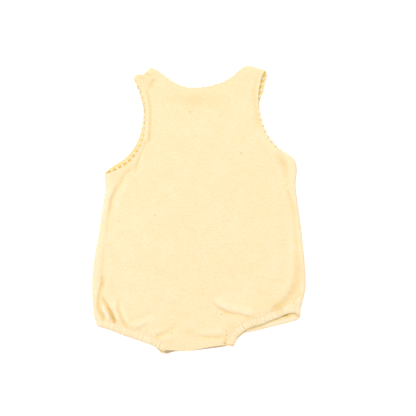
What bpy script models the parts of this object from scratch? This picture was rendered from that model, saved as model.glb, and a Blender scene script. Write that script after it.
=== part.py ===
"""A sleeveless baby romper of fine knit cloth, laid flat with its back up.

Tables and sizes are in millimetres, meshes in metres. The garment lies on the plane z = 0,
with +Y from crotch to neck and +Z up. "Left" and "right" are the -X and +X edges as it lies.
From the plane up there are the front panel, the front's picot tapes, the back's picot tapes
and the back panel. The panels meet at the side and shoulder seams, and are open at the neck,
the armholes and the legs. Each leg has one elastic band, on the back's edge above and turned
round the outer corner to run on along the front's edge below.
"""

import math
from collections import namedtuple

import bpy
import numpy as np
from mathutils import Vector
from mathutils.geometry import delaunay_2d_cdt

MM = 0.001

# ------------------------------------------------------------------ driving sizes, millimetres
CLOTH = 1.4               # wall of the knit cloth
GAP = 0.3                 # space between two sewn pieces
TAPE = 1.0                # thickness of the picot tape
TAPE_TUCK = 5.2           # how far a tape reaches inside its hem
TAPE_LIP = 0.6            # how far the tape shows past the hem between two picots
PICOT_REACH = 2.4         # how far a picot stands past the hem
PICOT_PITCH = 7.6         # from one picot to the next
TAPE_END = 6.5            # a tape stops this far from a side or shoulder seam
BAND_WIDTH = 9.5          # leg band, from the leg's edge to the panel
BAND_THICK = 2.6          # leg band with its elastic
GATHER_PITCH = 4.1        # from one gather of the leg band to the next
GATHER_RISE = 0.35        # half the height of a gather
SEAM_HEIGHT = 2.95        # middle of the side seam above the plane
ROLL = 3.2                # width over which a panel curves into its seam
EDGE_ROUND = 0.35         # rounding of an open edge
BODY_TOP = 3.9            # top of the back panel where it lies loose on the front
SEAM_TOP = 5.6            # top of the back panel beside the side and shoulder seams
LEG_TOP = 5.2             # top of the back panel at the leg bands
HIGHEST = 6.6             # no part of the back panel is higher
MIDDLE_Y = 0.43           # the tables' y at the middle of the garment's length

FRONT_TAPE_TOP = CLOTH + GAP + TAPE          # what the back's tapes lie on
TAPE_LAYER = TAPE + GAP                      # a back tape with the space below it
BAND_TURN = BAND_THICK + GAP / 2             # outer radius of a band's turn at its corner
SEAM_REACH = BAND_WIDTH + GAP                # from the leg's edge to the panel's edge
HEM = TAPE_TUCK + 1.0                        # the back panel lies level on its tapes so far in
HEM_SLOPE = 5.0                              # and comes down off them over this width
ROLLED_IN = 3.0           # the front's left armhole has rolled over its tape, so far
TAPE_SLOPE = (9.5, 15.0)  # the back comes down off the front's tape between these distances
HOLE_SLOPE = (PICOT_REACH + 2.0, 12.0)       # and sinks into the front's neckline between these
NECK_SINKS = (0.16, 0.42)                    # shares of the neckline: the back's tape goes down
NECK_RISES = (0.60, 0.86)                    # into the front's lower neckline and up again
SEAM_SLOPE = (5.0, 20.0)                     # the back comes down from a seam between these
LEG_SLOPE = (5.0, 34.0)                      # and from a leg band between these
FOLD_EDGE = 7.0                              # folds fade out over this width at the leg bands
FOLD_ENDS = 0.22                             # and over this share of their length at each end
CORNER_EASE = (3.0, 14.0)                    # the front's leg edge leaves the back's corner here
BORDER_EASE = 0.22                           # share of a band in which it bends to its ends

YELLOW = (0.945, 0.815, 0.470, 1.0)
CREAM = (0.960, 0.885, 0.680, 1.0)

# ------------------------------------------------------------------ cut of the panels
# Each table follows one edge of the back panel. "front" is how far the front panel's
# edge lies outside the back's edge there; below zero it lies inside.
Point = namedtuple("Point", "x y front")


def table(*rows):
    return [Point(*row) for row in rows]


SIDE_LEFT = table(             # from the leg's corner up to the armpit
    (-128.0, -144.5, 0), (-130.5, -135.5, 0), (-132.5, -120.5, 0), (-133.5, -100.0, 0),
    (-132.5, -75.5, 0), (-129.0, -50.5, 0), (-124.5, -25.5, 0), (-121.0, -0.5, 0),
    (-117.5, 22.5, 0), (-117.0, 44.5, 0))
SIDE_RIGHT = table(
    (125.5, -133.5, 0), (126.5, -126.5, 0), (129.5, -115.0, 0), (133.0, -100.5, 0),
    (133.5, -86.5, 0), (132.0, -63.0, 0), (129.5, -38.0, 0), (126.5, -13.0, 0),
    (123.0, 12.0, 0), (121.0, 32.5, 0), (122.5, 48.5, 0), (121.0, 60.0, 0),
    (116.0, 67.0, 0), (105.0, 73.5, 0))
ARMHOLE_LEFT = table(          # from the armpit up to the shoulder
    (-117.0, 44.5, 0), (-103.5, 50.0, 5.6), (-88.5, 59.0, 6.0), (-77.5, 71.5, 5.2),
    (-70.0, 87.0, 4.8), (-67.0, 107.5, 3.0), (-67.5, 127.5, 1.8), (-72.0, 144.5, 1.2),
    (-80.0, 163.5, 0))
ARMHOLE_RIGHT = table(
    (105.0, 73.5, 0), (96.0, 78.5, 0), (88.0, 88.0, 0), (81.5, 100.5, 0.2),
    (76.5, 117.5, 0.2), (74.0, 136.0, 0.8), (75.5, 152.0, 5.0), (78.0, 165.0, 4.2),
    (82.0, 174.5, 0))
SHOULDER_LEFT = table(         # from the armhole to the neck
    (-80.0, 163.5, 0), (-76.5, 168.5, 0), (-70.5, 171.0, 0), (-65.5, 174.0, 0),
    (-61.5, 178.0, 0))
SHOULDER_RIGHT = table(        # from the neck to the armhole
    (55.0, 178.5, 0), (58.5, 180.0, 0), (64.0, 180.0, 0), (72.0, 178.0, 0),
    (77.5, 176.0, 0), (82.0, 174.5, 0))
NECK = table(                  # from left to right
    (-61.5, 178.0, 0), (-55.5, 175.0, -4.0), (-46.5, 168.5, -11.5), (-36.0, 160.5, -15.5),
    (-25.0, 154.5, -17.5), (-11.0, 152.0, -19.0), (4.0, 152.5, -19.5), (17.5, 155.0, -19.0),
    (30.0, 159.0, -17.0), (41.0, 165.5, -12.5), (48.5, 172.0, -6.0), (55.0, 178.5, 0))
LEG_LEFT = table(              # from the outer corner to the crotch
    (-128.0, -144.5, 0), (-121.5, -147.0, -1), (-111.0, -150.0, -1), (-97.5, -155.5, -1),
    (-81.5, -161.0, -1), (-66.0, -166.5, -1), (-57.5, -169.5, -1), (-50.5, -174.0, 1),
    (-44.5, -176.0, 3.5))
LEG_RIGHT = table(             # from the crotch to the outer corner
    (44.5, -168.5, 1.5), (46.0, -165.0, 0.5), (50.0, -159.5, 0), (57.5, -154.0, 0),
    (67.5, -148.5, 2), (79.0, -143.0, 5), (91.5, -138.0, 7.5), (102.5, -133.5, 8.5),
    (109.5, -130.5, 9.5), (115.0, -129.0, 9), (121.0, -129.5, 6), (125.5, -133.5, 0))
CROTCH = table(                # between the two leg bands
    (-44.0, -176.0, 3.3), (-39.0, -175.3, 4.7), (-28.5, -175.5, 2.3), (-11.0, -176.0, 0.6),
    (2.5, -174.5, 1.2), (12.5, -171.0, 3.2), (22.5, -167.7, 5), (34.7, -166.6, 5))

# Where a band's inner border ends at the crotch.
BAND_END_LEFT = (-44.3, -165.2)
BAND_END_RIGHT = (34.7, -166.6)

# ------------------------------------------------------------------ folds of the back panel
# A fold is a soft trough (rise below zero) or ridge along a smooth line.
Fold = namedtuple("Fold", "name path width rise")
FOLDS = (
    Fold("left armhole groove",
         ((-67, 157), (-62, 143), (-59.5, 128), (-59, 110), (-59.5, 92), (-62, 79)), 2.6, -0.7),
    Fold("below the left armhole",
         ((-66, 82), (-72, 72), (-77, 60), (-79, 48)), 4.0, -0.8),
    Fold("left side, upper",
         ((-79, 61), (-88.5, 48.5), (-98, 32.5), (-106, 18), (-110.5, 2), (-114.5, -24)),
         4.0, -1.7),
    Fold("left side, lower",
         ((-115, -32), (-119, -58), (-121, -76)), 4.0, -0.8),
    Fold("left leg, outer",
         ((-120, -80), (-122, -95), (-125, -110), (-123, -126), (-119, -136)), 3.6, -1.2),
    Fold("left leg, deepest",
         ((-121, -104), (-115, -119), (-108.5, -131), (-104, -140)), 4.6, -2.0),
    Fold("left leg, inner",
         ((-99, -110), (-100, -123), (-96, -134), (-90, -145)), 4.2, -1.2),
    Fold("left of the crotch",
         ((-26, -143), (-38.5, -152.5), (-50, -157), (-60, -158.5)), 4.4, -1.3),
    Fold("ridge by the left leg",
         ((-58, -127), (-73.5, -139), (-82, -149)), 7.0, 0.9),
    Fold("right armpit",
         ((96.5, 69), (104, 58), (109, 46), (113, 37), (117, 26)), 4.2, -1.5),
    Fold("right side, upper",
         ((107, 38), (110.5, 24), (114.5, 12), (118, -4), (119.5, -20), (120, -34)), 5.0, -1.6),
    Fold("right side, lower",
         ((120, -26), (122, -48), (123.5, -68), (122.5, -90), (114, -107), (104, -117),
          (97, -126)), 5.0, -1.6),
    Fold("lower right",
         ((14, -107), (23, -118), (34, -125), (49, -129), (68, -132.5)), 5.0, -1.5),
    Fold("right of the crotch",
         ((0, -158), (16, -159.5), (30, -157.5), (40, -153)), 4.0, -1.0),
    Fold("right armhole hollow",
         ((72, 168), (68, 154), (66, 140), (66, 126), (69, 111), (74, 96)), 5.0, -0.7),
    Fold("below the neck",
         ((-30, 139), (-10, 133), (6, 131), (24, 134), (40, 141)), 6.0, -0.6),
)

# A puff is a soft round rise of the back panel.
Puff = namedtuple("Puff", "name x y across along rise")
PUFFS = (
    Puff("right armpit", 114, 52, 7, 10, 0.9),
    Puff("left of the armhole", -109, 33, 7, 13, 0.6),
    Puff("left leg corner", -116, -126, 9, 9, 1.0),
    Puff("left leg", -82, -143, 17, 9, 1.0),
    Puff("between the left leg's folds", -106, -122, 5, 9, 0.8),
    Puff("lower right", 50, -116, 26, 9, 1.2),
    Puff("right leg", 88, -124, 16, 8, 1.1),
    Puff("right leg corner", 121, -117, 6, 8, 0.8),
    Puff("right hip", 108, -78, 12, 30, 0.5),
    Puff("left hip", -108, -80, 10, 28, 0.5),
    Puff("crotch, left", -22, -163, 12, 7, 0.7),
    Puff("crotch, right", 22, -164, 12, 6, 0.5),
    Puff("seat", -8, -70, 62, 50, 0.5),
    Puff("middle of the back", 6, 40, 55, 40, 0.3),
)


# ------------------------------------------------------------------ small tools
def smoothstep(value, low, high):
    share = np.clip((value - low) / (high - low), 0.0, 1.0)
    return share * share * (3.0 - 2.0 * share)


def smooth_line(rows, per_span=10):
    """Points along a soft curve through the rows; every column is carried along."""
    knots = np.array(rows, float)
    chords = np.sqrt(np.hypot(*np.diff(knots[:, :2], axis=0).T))
    time = np.concatenate(([0.0], np.cumsum(chords)))
    slopes = np.gradient(knots, time, axis=0)
    points = []
    for start in range(len(knots) - 1):
        span = time[start + 1] - time[start]
        for step in range(per_span):
            t = step / per_span
            points.append(
                (1 + 2 * t) * (1 - t) ** 2 * knots[start]
                + t * (1 - t) ** 2 * span * slopes[start]
                + t * t * (3 - 2 * t) * knots[start + 1]
                + t * t * (t - 1) * span * slopes[start + 1])
    points.append(knots[-1])
    return np.array(points)


def lengths_along(points):
    steps = np.hypot(*np.diff(points[:, :2], axis=0).T)
    return np.concatenate(([0.0], np.cumsum(steps)))


def read_line(points, shares):
    """The line's columns at these shares of its length."""
    along = lengths_along(points)
    places = np.asarray(shares) * along[-1]
    return np.column_stack([np.interp(places, along, column) for column in points.T])


def nearest(places, path):
    """For each place, its distance to the path and its share of the path's length."""
    start, end = path[:-1, :2], path[1:, :2]
    run = end - start
    square = np.maximum((run ** 2).sum(axis=1), 1e-12)
    offset = places[:, None, :] - start[None, :, :]
    part = np.clip((offset * run).sum(axis=2) / square, 0.0, 1.0)
    distance = np.hypot(*np.moveaxis(offset - part[..., None] * run, 2, 0))
    best = distance.argmin(axis=1)
    row = np.arange(len(places))
    along = lengths_along(path)
    reached = along[best] + part[row, best] * np.sqrt(square[best])
    return distance[row, best], reached / along[-1]


def distance_to(places, *paths):
    return np.min([nearest(places, path)[0] for path in paths], axis=0)


def left_of(points):
    """Unit vectors to the left of the way along a line."""
    way = np.gradient(points[:, :2], axis=0)
    way /= np.linalg.norm(way, axis=1)[:, None]
    return np.column_stack((-way[:, 1], way[:, 0]))


def moved_out(points, side):
    """The front panel's edge: the back's edge moved by its "front" column."""
    shifted = points.copy()
    shifted[:, :2] += side * left_of(points) * points[:, 2:3]
    return shifted


def even_shares(line, step):
    """Shares from 0 to 1 of the line's length, about a step apart."""
    return np.linspace(0.0, 1.0, round(lengths_along(line)[-1] / step) + 1)


def tape_shares(line, step):
    """The same for a taped edge, with one step at each end up to where its tape starts."""
    length = lengths_along(line)[-1]
    first = (TAPE_END - GAP) / length
    between = round((length - 2 * TAPE_END) / step) + 1
    return np.concatenate(([0.0], np.linspace(first, 1.0 - first, between), [1.0]))


# ------------------------------------------------------------------ edges
# Lengths of the straight steps in which each panel's outline is drawn.
BACK_STEP = 7.0
FRONT_STEP = 10.0

# OUTSIDE is +1 where the outside of the garment is to the left of the way along the edge.
OUTSIDE = {"armhole_left": 1, "armhole_right": -1, "neck": 1,
           "leg_left": -1, "leg_right": -1, "crotch": -1}
BACK = {"side_left": smooth_line(SIDE_LEFT), "side_right": smooth_line(SIDE_RIGHT),
        "armhole_left": smooth_line(ARMHOLE_LEFT), "armhole_right": smooth_line(ARMHOLE_RIGHT),
        "shoulder_left": smooth_line(SHOULDER_LEFT),
        "shoulder_right": smooth_line(SHOULDER_RIGHT),
        "neck": smooth_line(NECK), "crotch": smooth_line(CROTCH),
        "leg_left": smooth_line(LEG_LEFT), "leg_right": smooth_line(LEG_RIGHT)}
FRONT = dict(BACK)
for edge, outward in OUTSIDE.items():
    FRONT[edge] = moved_out(BACK[edge], outward)

SEAMS = [BACK[name] for name in ("side_left", "side_right", "shoulder_left", "shoulder_right")]
TAPED = ("armhole_left", "armhole_right", "neck")


def band_border(leg, side, band_end, corner_first):
    """The back panel's edge along a leg band, a point for each point of the leg's edge."""
    along = lengths_along(leg) / lengths_along(leg)[-1]
    border = leg[:, :2] + left_of(leg) * SEAM_REACH
    on_side = read_line(side, [SEAM_REACH / lengths_along(side)[-1]])[0, :2]
    from_corner = along if corner_first else 1.0 - along
    corner, crotch = (0, -1) if corner_first else (-1, 0)
    corner_pull = 1.0 - smoothstep(from_corner, 0.0, BORDER_EASE)
    crotch_pull = 1.0 - smoothstep(1.0 - from_corner, 0.0, BORDER_EASE)
    return (border + corner_pull[:, None] * (on_side - border[corner])
            + crotch_pull[:, None] * (np.array(band_end) - border[crotch]))


def front_border(border, leg, front_leg, corner_first):
    """The front panel's edge along its run of the band; it meets the back's at the corner."""
    along = lengths_along(leg)
    from_corner = along if corner_first else along[-1] - along
    away = smoothstep(from_corner, *CORNER_EASE)[:, None]
    return border + (front_leg[:, :2] - leg[:, :2]) * away


BACK["border_left"] = band_border(BACK["leg_left"], BACK["side_left"], BAND_END_LEFT, True)
BACK["border_right"] = band_border(BACK["leg_right"], BACK["side_right"], BAND_END_RIGHT, False)
for hand, corner_first in (("left", True), ("right", False)):
    FRONT["border_" + hand] = front_border(
        BACK["border_" + hand], BACK["leg_" + hand], FRONT["leg_" + hand], corner_first)


# ------------------------------------------------------------------ heights
def roll(share):
    """A quarter round: 0 at a seam, 1 where the panel lies level."""
    share = np.clip(share, 0.0, 1.0)
    return np.sqrt(1.0 - (1.0 - share) ** 2)


def tape_seat(places, edge):
    """What a back tape lies on: the front's tape, or the plane in the middle of the neck."""
    if edge != "neck":
        return np.full(len(places), FRONT_TAPE_TOP)
    corners = tape_shares(BACK["neck"], BACK_STEP)
    over_hole = smoothstep(corners, *NECK_SINKS) * (1.0 - smoothstep(corners, *NECK_RISES))
    _, share = nearest(places, BACK["neck"])
    return FRONT_TAPE_TOP * (1.0 - np.interp(share, corners, over_hole))


def front_support(places):
    """Height of the front panel with its tapes, eased so that cloth can lie over it."""
    armholes = distance_to(places, FRONT["armhole_left"], FRONT["armhole_right"])
    to_neck, _ = nearest(places, FRONT["neck"])
    neck_line = FRONT["neck"]
    in_hole = places[:, 1] > np.interp(places[:, 0], neck_line[:, 0], neck_line[:, 1])
    inside = np.where(in_hole, 0.0, to_neck)
    outside = np.where(in_hole, to_neck, 0.0)
    on_tape = 1.0 - smoothstep(np.minimum(armholes, inside), *TAPE_SLOPE)
    height = CLOTH + (FRONT_TAPE_TOP - CLOTH) * on_tape
    return height * (1.0 - smoothstep(outside, *HOLE_SLOPE))


def back_support(places):
    """Lowest underside of the back panel."""
    support = front_support(places)
    for edge in TAPED:
        distance, _ = nearest(places, BACK[edge])
        over_tape = 1.0 - smoothstep(distance, HEM, HEM + HEM_SLOPE)
        support = support + (tape_seat(places, edge) - support) * over_tape
    hem, _ = nearest(places, BACK["neck"])
    hem = np.minimum(hem, distance_to(places, BACK["armhole_left"], BACK["armhole_right"]))
    return support + TAPE_LAYER * (1.0 - smoothstep(hem, HEM, HEM + HEM_SLOPE)) + GAP


def fold_rise(places):
    rise = np.zeros(len(places))
    for fold in FOLDS:
        distance, share = nearest(places, smooth_line(fold.path, 4))
        ends = smoothstep(np.minimum(share, 1.0 - share), 0.0, FOLD_ENDS)
        rise += fold.rise * ends * np.exp(-(distance / fold.width) ** 2)
    for puff in PUFFS:
        across = (places[:, 0] - puff.x) / puff.across
        along = (places[:, 1] - puff.y) / puff.along
        rise += puff.rise * np.exp(-across ** 2 - along ** 2)
    return rise


def loose_top(places):
    """Top of the back panel before it curves down into its seams."""
    lowest = back_support(places) + CLOTH
    seam = distance_to(places, *SEAMS)
    leg = distance_to(places, BACK["border_left"], BACK["border_right"])
    top = BODY_TOP + (SEAM_TOP - BODY_TOP) * (1.0 - smoothstep(seam, *SEAM_SLOPE))
    top = np.maximum(top, LEG_TOP - (LEG_TOP - BODY_TOP) * smoothstep(leg, *LEG_SLOPE))
    folded = top + fold_rise(places) * smoothstep(leg, 0.0, FOLD_EDGE)
    beside_seam = 1.0 - smoothstep(seam, ROLL, 2 * ROLL)
    folded += (np.maximum(folded, SEAM_TOP) - folded) * beside_seam
    return np.minimum(np.maximum(folded, lowest), HIGHEST)


def back_upper(places):
    seam = distance_to(places, *SEAMS)
    edge = SEAM_HEIGHT + GAP / 2
    return edge + (loose_top(places) - edge) * roll(seam / ROLL)


def back_lower(places):
    seam = distance_to(places, *SEAMS)
    edge = SEAM_HEIGHT + GAP / 2
    return edge + (loose_top(places) - CLOTH - edge) * roll((seam - CLOTH) / (ROLL - CLOTH))


def front_upper(places):
    seam = distance_to(places, *SEAMS)
    edge = SEAM_HEIGHT - GAP / 2
    return edge + (CLOTH - edge) * roll((seam - CLOTH) / (ROLL - CLOTH))


def front_lower(places):
    seam = distance_to(places, *SEAMS)
    return (SEAM_HEIGHT - GAP / 2) * (1.0 - roll(seam / ROLL))


# ------------------------------------------------------------------ panels
# The outline's rings, each this far inside the outline; the cloth inside the last is
# filled with triangles.
FRONT_RINGS = (0.0, 0.5, 1.5, ROLL)
BACK_RINGS = FRONT_RINGS + (HEM,)
CORNER_SPREAD = 0.95      # a ring rounds off the outline's corners over this share of its depth
LATTICE = 6.6             # between the points that fill the back panel
EDGE_ZONE = 36.0          # farther than this from every edge only one point in four is kept
ROW_STEP = 6.0            # between the points of a row along a fold
FOLD_ROWS = (0.0, -1.3, 1.3)                 # rows along a fold, in its widths from its middle
CLOSEST = 0.55            # no two points that fill a panel are nearer, in lattice spacings
# One stretch of an outline: the edge, the way along it, and whether it is a sewn seam.
Stretch = namedtuple("Stretch", "edge forward seam")
OUTLINE = (
    Stretch("border_left", True, False), Stretch("crotch", True, False),
    Stretch("border_right", True, False), Stretch("side_right", True, True),
    Stretch("armhole_right", True, False), Stretch("shoulder_right", False, True),
    Stretch("neck", False, False), Stretch("shoulder_left", False, True),
    Stretch("armhole_left", False, False), Stretch("side_left", False, True))


def outline_of(edges, step):
    """A panel's outline once round, anticlockwise, and 1 for each point on a seam, else 0."""
    points, sewn = [], []
    for stretch in OUTLINE:
        line = edges[stretch.edge][:, :2]
        if stretch.edge in TAPED:
            shares = tape_shares(line, step)
        else:
            shares = even_shares(line, step)
        if stretch.edge.startswith("side"):
            start = SEAM_REACH / lengths_along(line)[-1]
            shares = start + shares * (1.0 - start)
        stops = read_line(line, shares)
        stops = stops if stretch.forward else stops[::-1]
        for stop in stops:
            if points and np.linalg.norm(stop - points[-1]) < GAP / 3:
                sewn[-1] = max(sewn[-1], float(stretch.seam))
            else:
                points.append(stop)
                sewn.append(float(stretch.seam))
    sewn[0] = sewn.pop()
    points.pop()
    return np.array(points), np.array(sewn)


def inward(outline, depth):
    """The outline moved in by a depth, softened so that its steps in don't cross at corners."""
    run = np.roll(outline, -1, axis=0) - outline
    length = np.linalg.norm(run, axis=1)
    normals = np.column_stack((-run[:, 1], run[:, 0])) / length[:, None]
    start = np.concatenate(([0.0], np.cumsum(length)[:-1]))
    whole = length.sum()
    spread = math.sqrt(2.0) * max(CORNER_SPREAD * depth, GAP)
    steps = []
    for place in start:
        low = (start - place + whole / 2) % whole - whole / 2
        share = [math.erf((a + b) / spread) - math.erf(a / spread) for a, b in zip(low, length)]
        steps.append((normals * np.array(share)[:, None]).sum(axis=0) / sum(share))
    return np.array(steps)


def fold_rows():
    """Points along the folds, so that the panel's triangles follow them."""
    rows = []
    for fold in FOLDS:
        path = smooth_line(fold.path, 4)
        stops = read_line(path, even_shares(path, ROW_STEP))
        for across in FOLD_ROWS:
            rows += list(stops + left_of(stops) * across * fold.width)
    return rows


def lattice(ring):
    """Points inside a ring, in rows of triangles, fewer far from the ring."""
    low, high = ring.min(axis=0), ring.max(axis=0)
    places = []
    for row in range(int((high[1] - low[1]) / LATTICE) + 1):
        for column in range(int((high[0] - low[0]) / LATTICE) + 1):
            coarse = row % 2 == 0 and (column + row // 2) % 2 == 0
            places.append((low[0] + (column + row % 2 / 2) * LATTICE,
                           low[1] + row * LATTICE, coarse))
    places = np.array(places)
    distance, _ = nearest(places[:, :2], np.vstack((ring, ring[:1])))
    kept = (distance < EDGE_ZONE) | (places[:, 2] > 0)
    return list(places[kept, :2])


def inner_points(ring):
    """From the middle on, the rows along the folds and the lattice, none too near another."""
    closed = np.vstack((ring, ring[:1]))
    kept = np.zeros((1, 2))
    for place in fold_rows() + lattice(ring):
        clear = min(np.hypot(*(kept - place).T).min(), nearest(place[None], closed)[0][0])
        if clear > CLOSEST * LATTICE and inside_of(place, ring):
            kept = np.vstack((kept, place))
    return kept


def inside_of(place, ring):
    """Whether a place lies inside a ring, by the ring's crossings of a line to its right."""
    after = np.roll(ring, -1, axis=0)
    spans = (ring[:, 1] > place[1]) != (after[:, 1] > place[1])
    start, end = ring[spans], after[spans]
    crossings = start[:, 0] + (place[1] - start[:, 1]) * (end - start)[:, 0] / (end - start)[:, 1]
    return bool((crossings > place[0]).sum() % 2)


def filled(ring, inner):
    """Triangles over a ring and the places inside it, as indices into both, ring first."""
    places = [Vector(place) for place in np.vstack((ring, inner))]
    made = delaunay_2d_cdt(places, [], [list(range(len(ring)))], 1, 1e-6)
    faces, origins = made[2], made[3]
    return [tuple(origins[corner][0] for corner in face) for face in faces]


def surface_faces(rings, count, fill, first):
    """Faces of one side of a panel, seen from above anticlockwise."""
    faces = []
    for ring in range(rings - 1):
        outer, inner = first + ring * count, first + (ring + 1) * count
        for k in range(count):
            after = (k + 1) % count
            faces.append((outer + k, outer + after, inner + after, inner + k))
    fill_first = first + (rings - 1) * count
    faces += [tuple(fill_first + corner for corner in face) for face in fill]
    return faces


def panel(name, edges, step, depths, folded, outer, inner, colour):
    """A cloth panel; outer and inner give its faces' heights, and inner curves in sooner."""
    outline, sewn = outline_of(edges, step)
    count = len(outline)
    steps = [inward(outline, depth) for depth in depths]
    last = outline + steps[-1] * depths[-1]
    places = inner_points(last) if folded else np.empty((0, 2))
    fill = filled(last, places)
    levels = []
    for height, wall in ((outer, 0.0), (inner, CLOTH)):
        rings = []
        for depth, step_in in zip(depths, steps):
            thinner = wall * max(0.0, 1.0 - depth / ROLL)
            rings.append(outline + step_in * (depth + thinner * sewn)[:, None])
        flat = np.vstack(rings + [places])
        levels.append(np.column_stack((flat, height(flat))))
    levels.sort(key=lambda level: -level[:, 2].mean())
    levels[0][:count, 2] -= EDGE_ROUND * (1.0 - sewn)
    levels[1][:count, 2] += EDGE_ROUND * (1.0 - sewn)
    below = len(levels[0])
    faces = surface_faces(len(depths), count, fill, 0)
    faces += [face[::-1] for face in surface_faces(len(depths), count, fill, below)]
    for k in range(count):
        after = (k + 1) % count
        faces.append((k, below + k, below + after, after))
    return solid(name, np.vstack(levels), faces, colour)


# ------------------------------------------------------------------ leg bands
# A band's section: "across" from the leg's edge to the panel, "out" from the inside to the
# outside. "gather" is the share of the gathers that the point takes.
Section = namedtuple("Section", "across out gather")
BAND_SECTION = (
    Section(0.00, 0.50, 0.6), Section(0.10, 0.12, 0), Section(0.85, 0.0, 0),
    Section(1.00, 0.15, 0), Section(1.00, 0.78, 0), Section(0.86, 1.0, 0.7),
    Section(0.50, 1.0, 1.0), Section(0.12, 0.9, 1.0))
STATIONS_PER_GATHER = 3
TURN_STEPS = 5


def band_ring(edge, border, way, turn, gather):
    """One section of a band; turn is 0 on the upper run and pi on the lower run."""
    points = []
    for section in BAND_SECTION:
        place = edge + (border - edge) * section.across
        radius = GAP / 2 + BAND_THICK * section.out + gather * section.gather
        flat = place + way * radius * math.sin(turn)
        points.append((flat[0], flat[1], BAND_TURN + radius * math.cos(turn)))
    return points


def tube_faces(rings, around):
    """Faces of a tube of rings that have "around" points each, with both ends closed."""
    faces = [tuple(reversed(range(around)))]
    for ring in range(rings - 1):
        for k in range(around):
            after = (k + 1) % around
            near, far = ring * around, (ring + 1) * around
            faces.append((near + k, near + after, far + after, far + k))
    faces.append(tuple(range((rings - 1) * around, rings * around)))
    return faces


def band_rows(edges, hand, corners, shares):
    """A band's edge and border at these shares of the border, which is straight between corners."""
    edge, border = edges["leg_" + hand][:, :2], edges["border_" + hand]
    along = lengths_along(border) / lengths_along(border)[-1]
    bends = read_line(border, corners)
    outer = np.column_stack([np.interp(shares, along, column) for column in edge.T])
    inner = np.column_stack([np.interp(shares, corners, column) for column in bends.T])
    width = np.linalg.norm(inner - outer, axis=1)[:, None]
    return np.column_stack((outer, inner + (outer - inner) * GAP / width))


def leg_band(hand, corner_first):
    """The elastic band round one leg opening, from the crotch out and back."""
    length = lengths_along(BACK["border_" + hand])[-1]
    gathers = round(length / GATHER_PITCH)
    turn_share = BAND_TURN / length
    upper = np.linspace(0.0, 1.0 - turn_share, gathers * STATIONS_PER_GATHER + 1)
    corners = even_shares(FRONT["border_" + hand], FRONT_STEP)
    lower = np.sort(np.concatenate((corners[:-1], (corners[1:] + corners[:-1]) / 2)))
    lower = np.append(lower[lower < 1.0 - 1.5 * turn_share], 1.0 - turn_share)
    if corner_first:
        upper, lower = 1.0 - upper, 1.0 - lower
    above = band_rows(BACK, hand, even_shares(BACK["border_" + hand], BACK_STEP), upper)
    below = band_rows(FRONT, hand, corners, lower)[::-1]
    way = above[-1, :2] - above[-1 - STATIONS_PER_GATHER, :2]
    way /= np.linalg.norm(way)
    rings = []
    for index, row in enumerate(above):
        fade = min(1.0, (len(above) - 1 - index) / STATIONS_PER_GATHER)
        swell = GATHER_RISE * fade * math.cos(2 * math.pi * index / STATIONS_PER_GATHER)
        rings.append(band_ring(row[:2], row[2:], way, 0.0, swell))
    for step in range(1, TURN_STEPS):
        turn = math.pi * step / TURN_STEPS
        row = above[-1] + (below[0] - above[-1]) * (1 - math.cos(turn)) / 2
        rings.append(band_ring(row[:2], row[2:], way, turn, 0.0))
    for row in below:
        rings.append(band_ring(row[:2], row[2:], way, math.pi, 0.0))
    faces = tube_faces(len(rings), len(BAND_SECTION))
    if corner_first:
        faces = [face[::-1] for face in faces]
    return solid("leg_band_" + hand, np.array(rings).reshape(-1, 3), faces, YELLOW)


# ------------------------------------------------------------------ picot tapes
# Places along one pitch of the tape, and how far the tape reaches past the hem there.
Picot = namedtuple("Picot", "share reach")
PICOT_SHAPE = (Picot(0.22, TAPE_LIP), Picot(0.36, PICOT_REACH),
               Picot(0.64, PICOT_REACH), Picot(0.78, TAPE_LIP))


def picot_tape(name, line, outward, rolled_in, seat):
    """A tape that lies inside a hem, with its picots past the cloth's edge unless rolled in."""
    length = lengths_along(line)[-1]
    free = length - 2 * TAPE_END
    picots = round(free / PICOT_PITCH)
    places, reaches = [0.0], [TAPE_LIP]
    for picot in range(picots):
        for point in PICOT_SHAPE:
            places.append((picot + point.share) / picots)
            reaches.append(point.reach)
    places.append(1.0)
    reaches.append(TAPE_LIP)
    shares = (TAPE_END + np.array(places) * free) / length
    edge = read_line(line[:, :2], shares)
    out = outward * read_line(left_of(line), shares)
    out /= np.linalg.norm(out, axis=1)[:, None]
    inner = edge - out * (TAPE_TUCK + rolled_in)
    outer = edge + out * (np.array(reaches) - rolled_in)[:, None]
    low_inner, low_edge = seat(inner) + GAP, seat(edge) + GAP
    rings = []
    for k in range(len(shares)):
        rings.append(((*inner[k], low_inner[k]), (*outer[k], low_edge[k]),
                      (*outer[k], low_edge[k] + TAPE), (*inner[k], low_inner[k] + TAPE)))
    faces = tube_faces(len(rings), 4)
    if outward < 0:
        faces = [face[::-1] for face in faces]
    return solid(name, np.array(rings).reshape(-1, 3), faces, CREAM)


def picot_tapes():
    for edge in TAPED:
        kind, _, hand = edge.partition("_")
        stem = kind + "_picot" + ("_" + hand if hand else "")
        picot_tape(stem + "_back", BACK[edge], OUTSIDE[edge], 0.0,
                   lambda places, edge=edge: tape_seat(places, edge))
        rolled_in = ROLLED_IN if edge == "armhole_left" else 0.0
        picot_tape(stem + "_front", FRONT[edge], OUTSIDE[edge], rolled_in,
                   lambda places: np.full(len(places), CLOTH))


# ------------------------------------------------------------------ objects
def cloth_material(name, colour):
    material = bpy.data.materials.new(name)
    material.use_nodes = True
    shader = material.node_tree.nodes["Principled BSDF"]
    shader.inputs["Base Color"].default_value = colour
    shader.inputs["Roughness"].default_value = 0.9
    shader.inputs["Metallic"].default_value = 0.0
    return material


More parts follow.
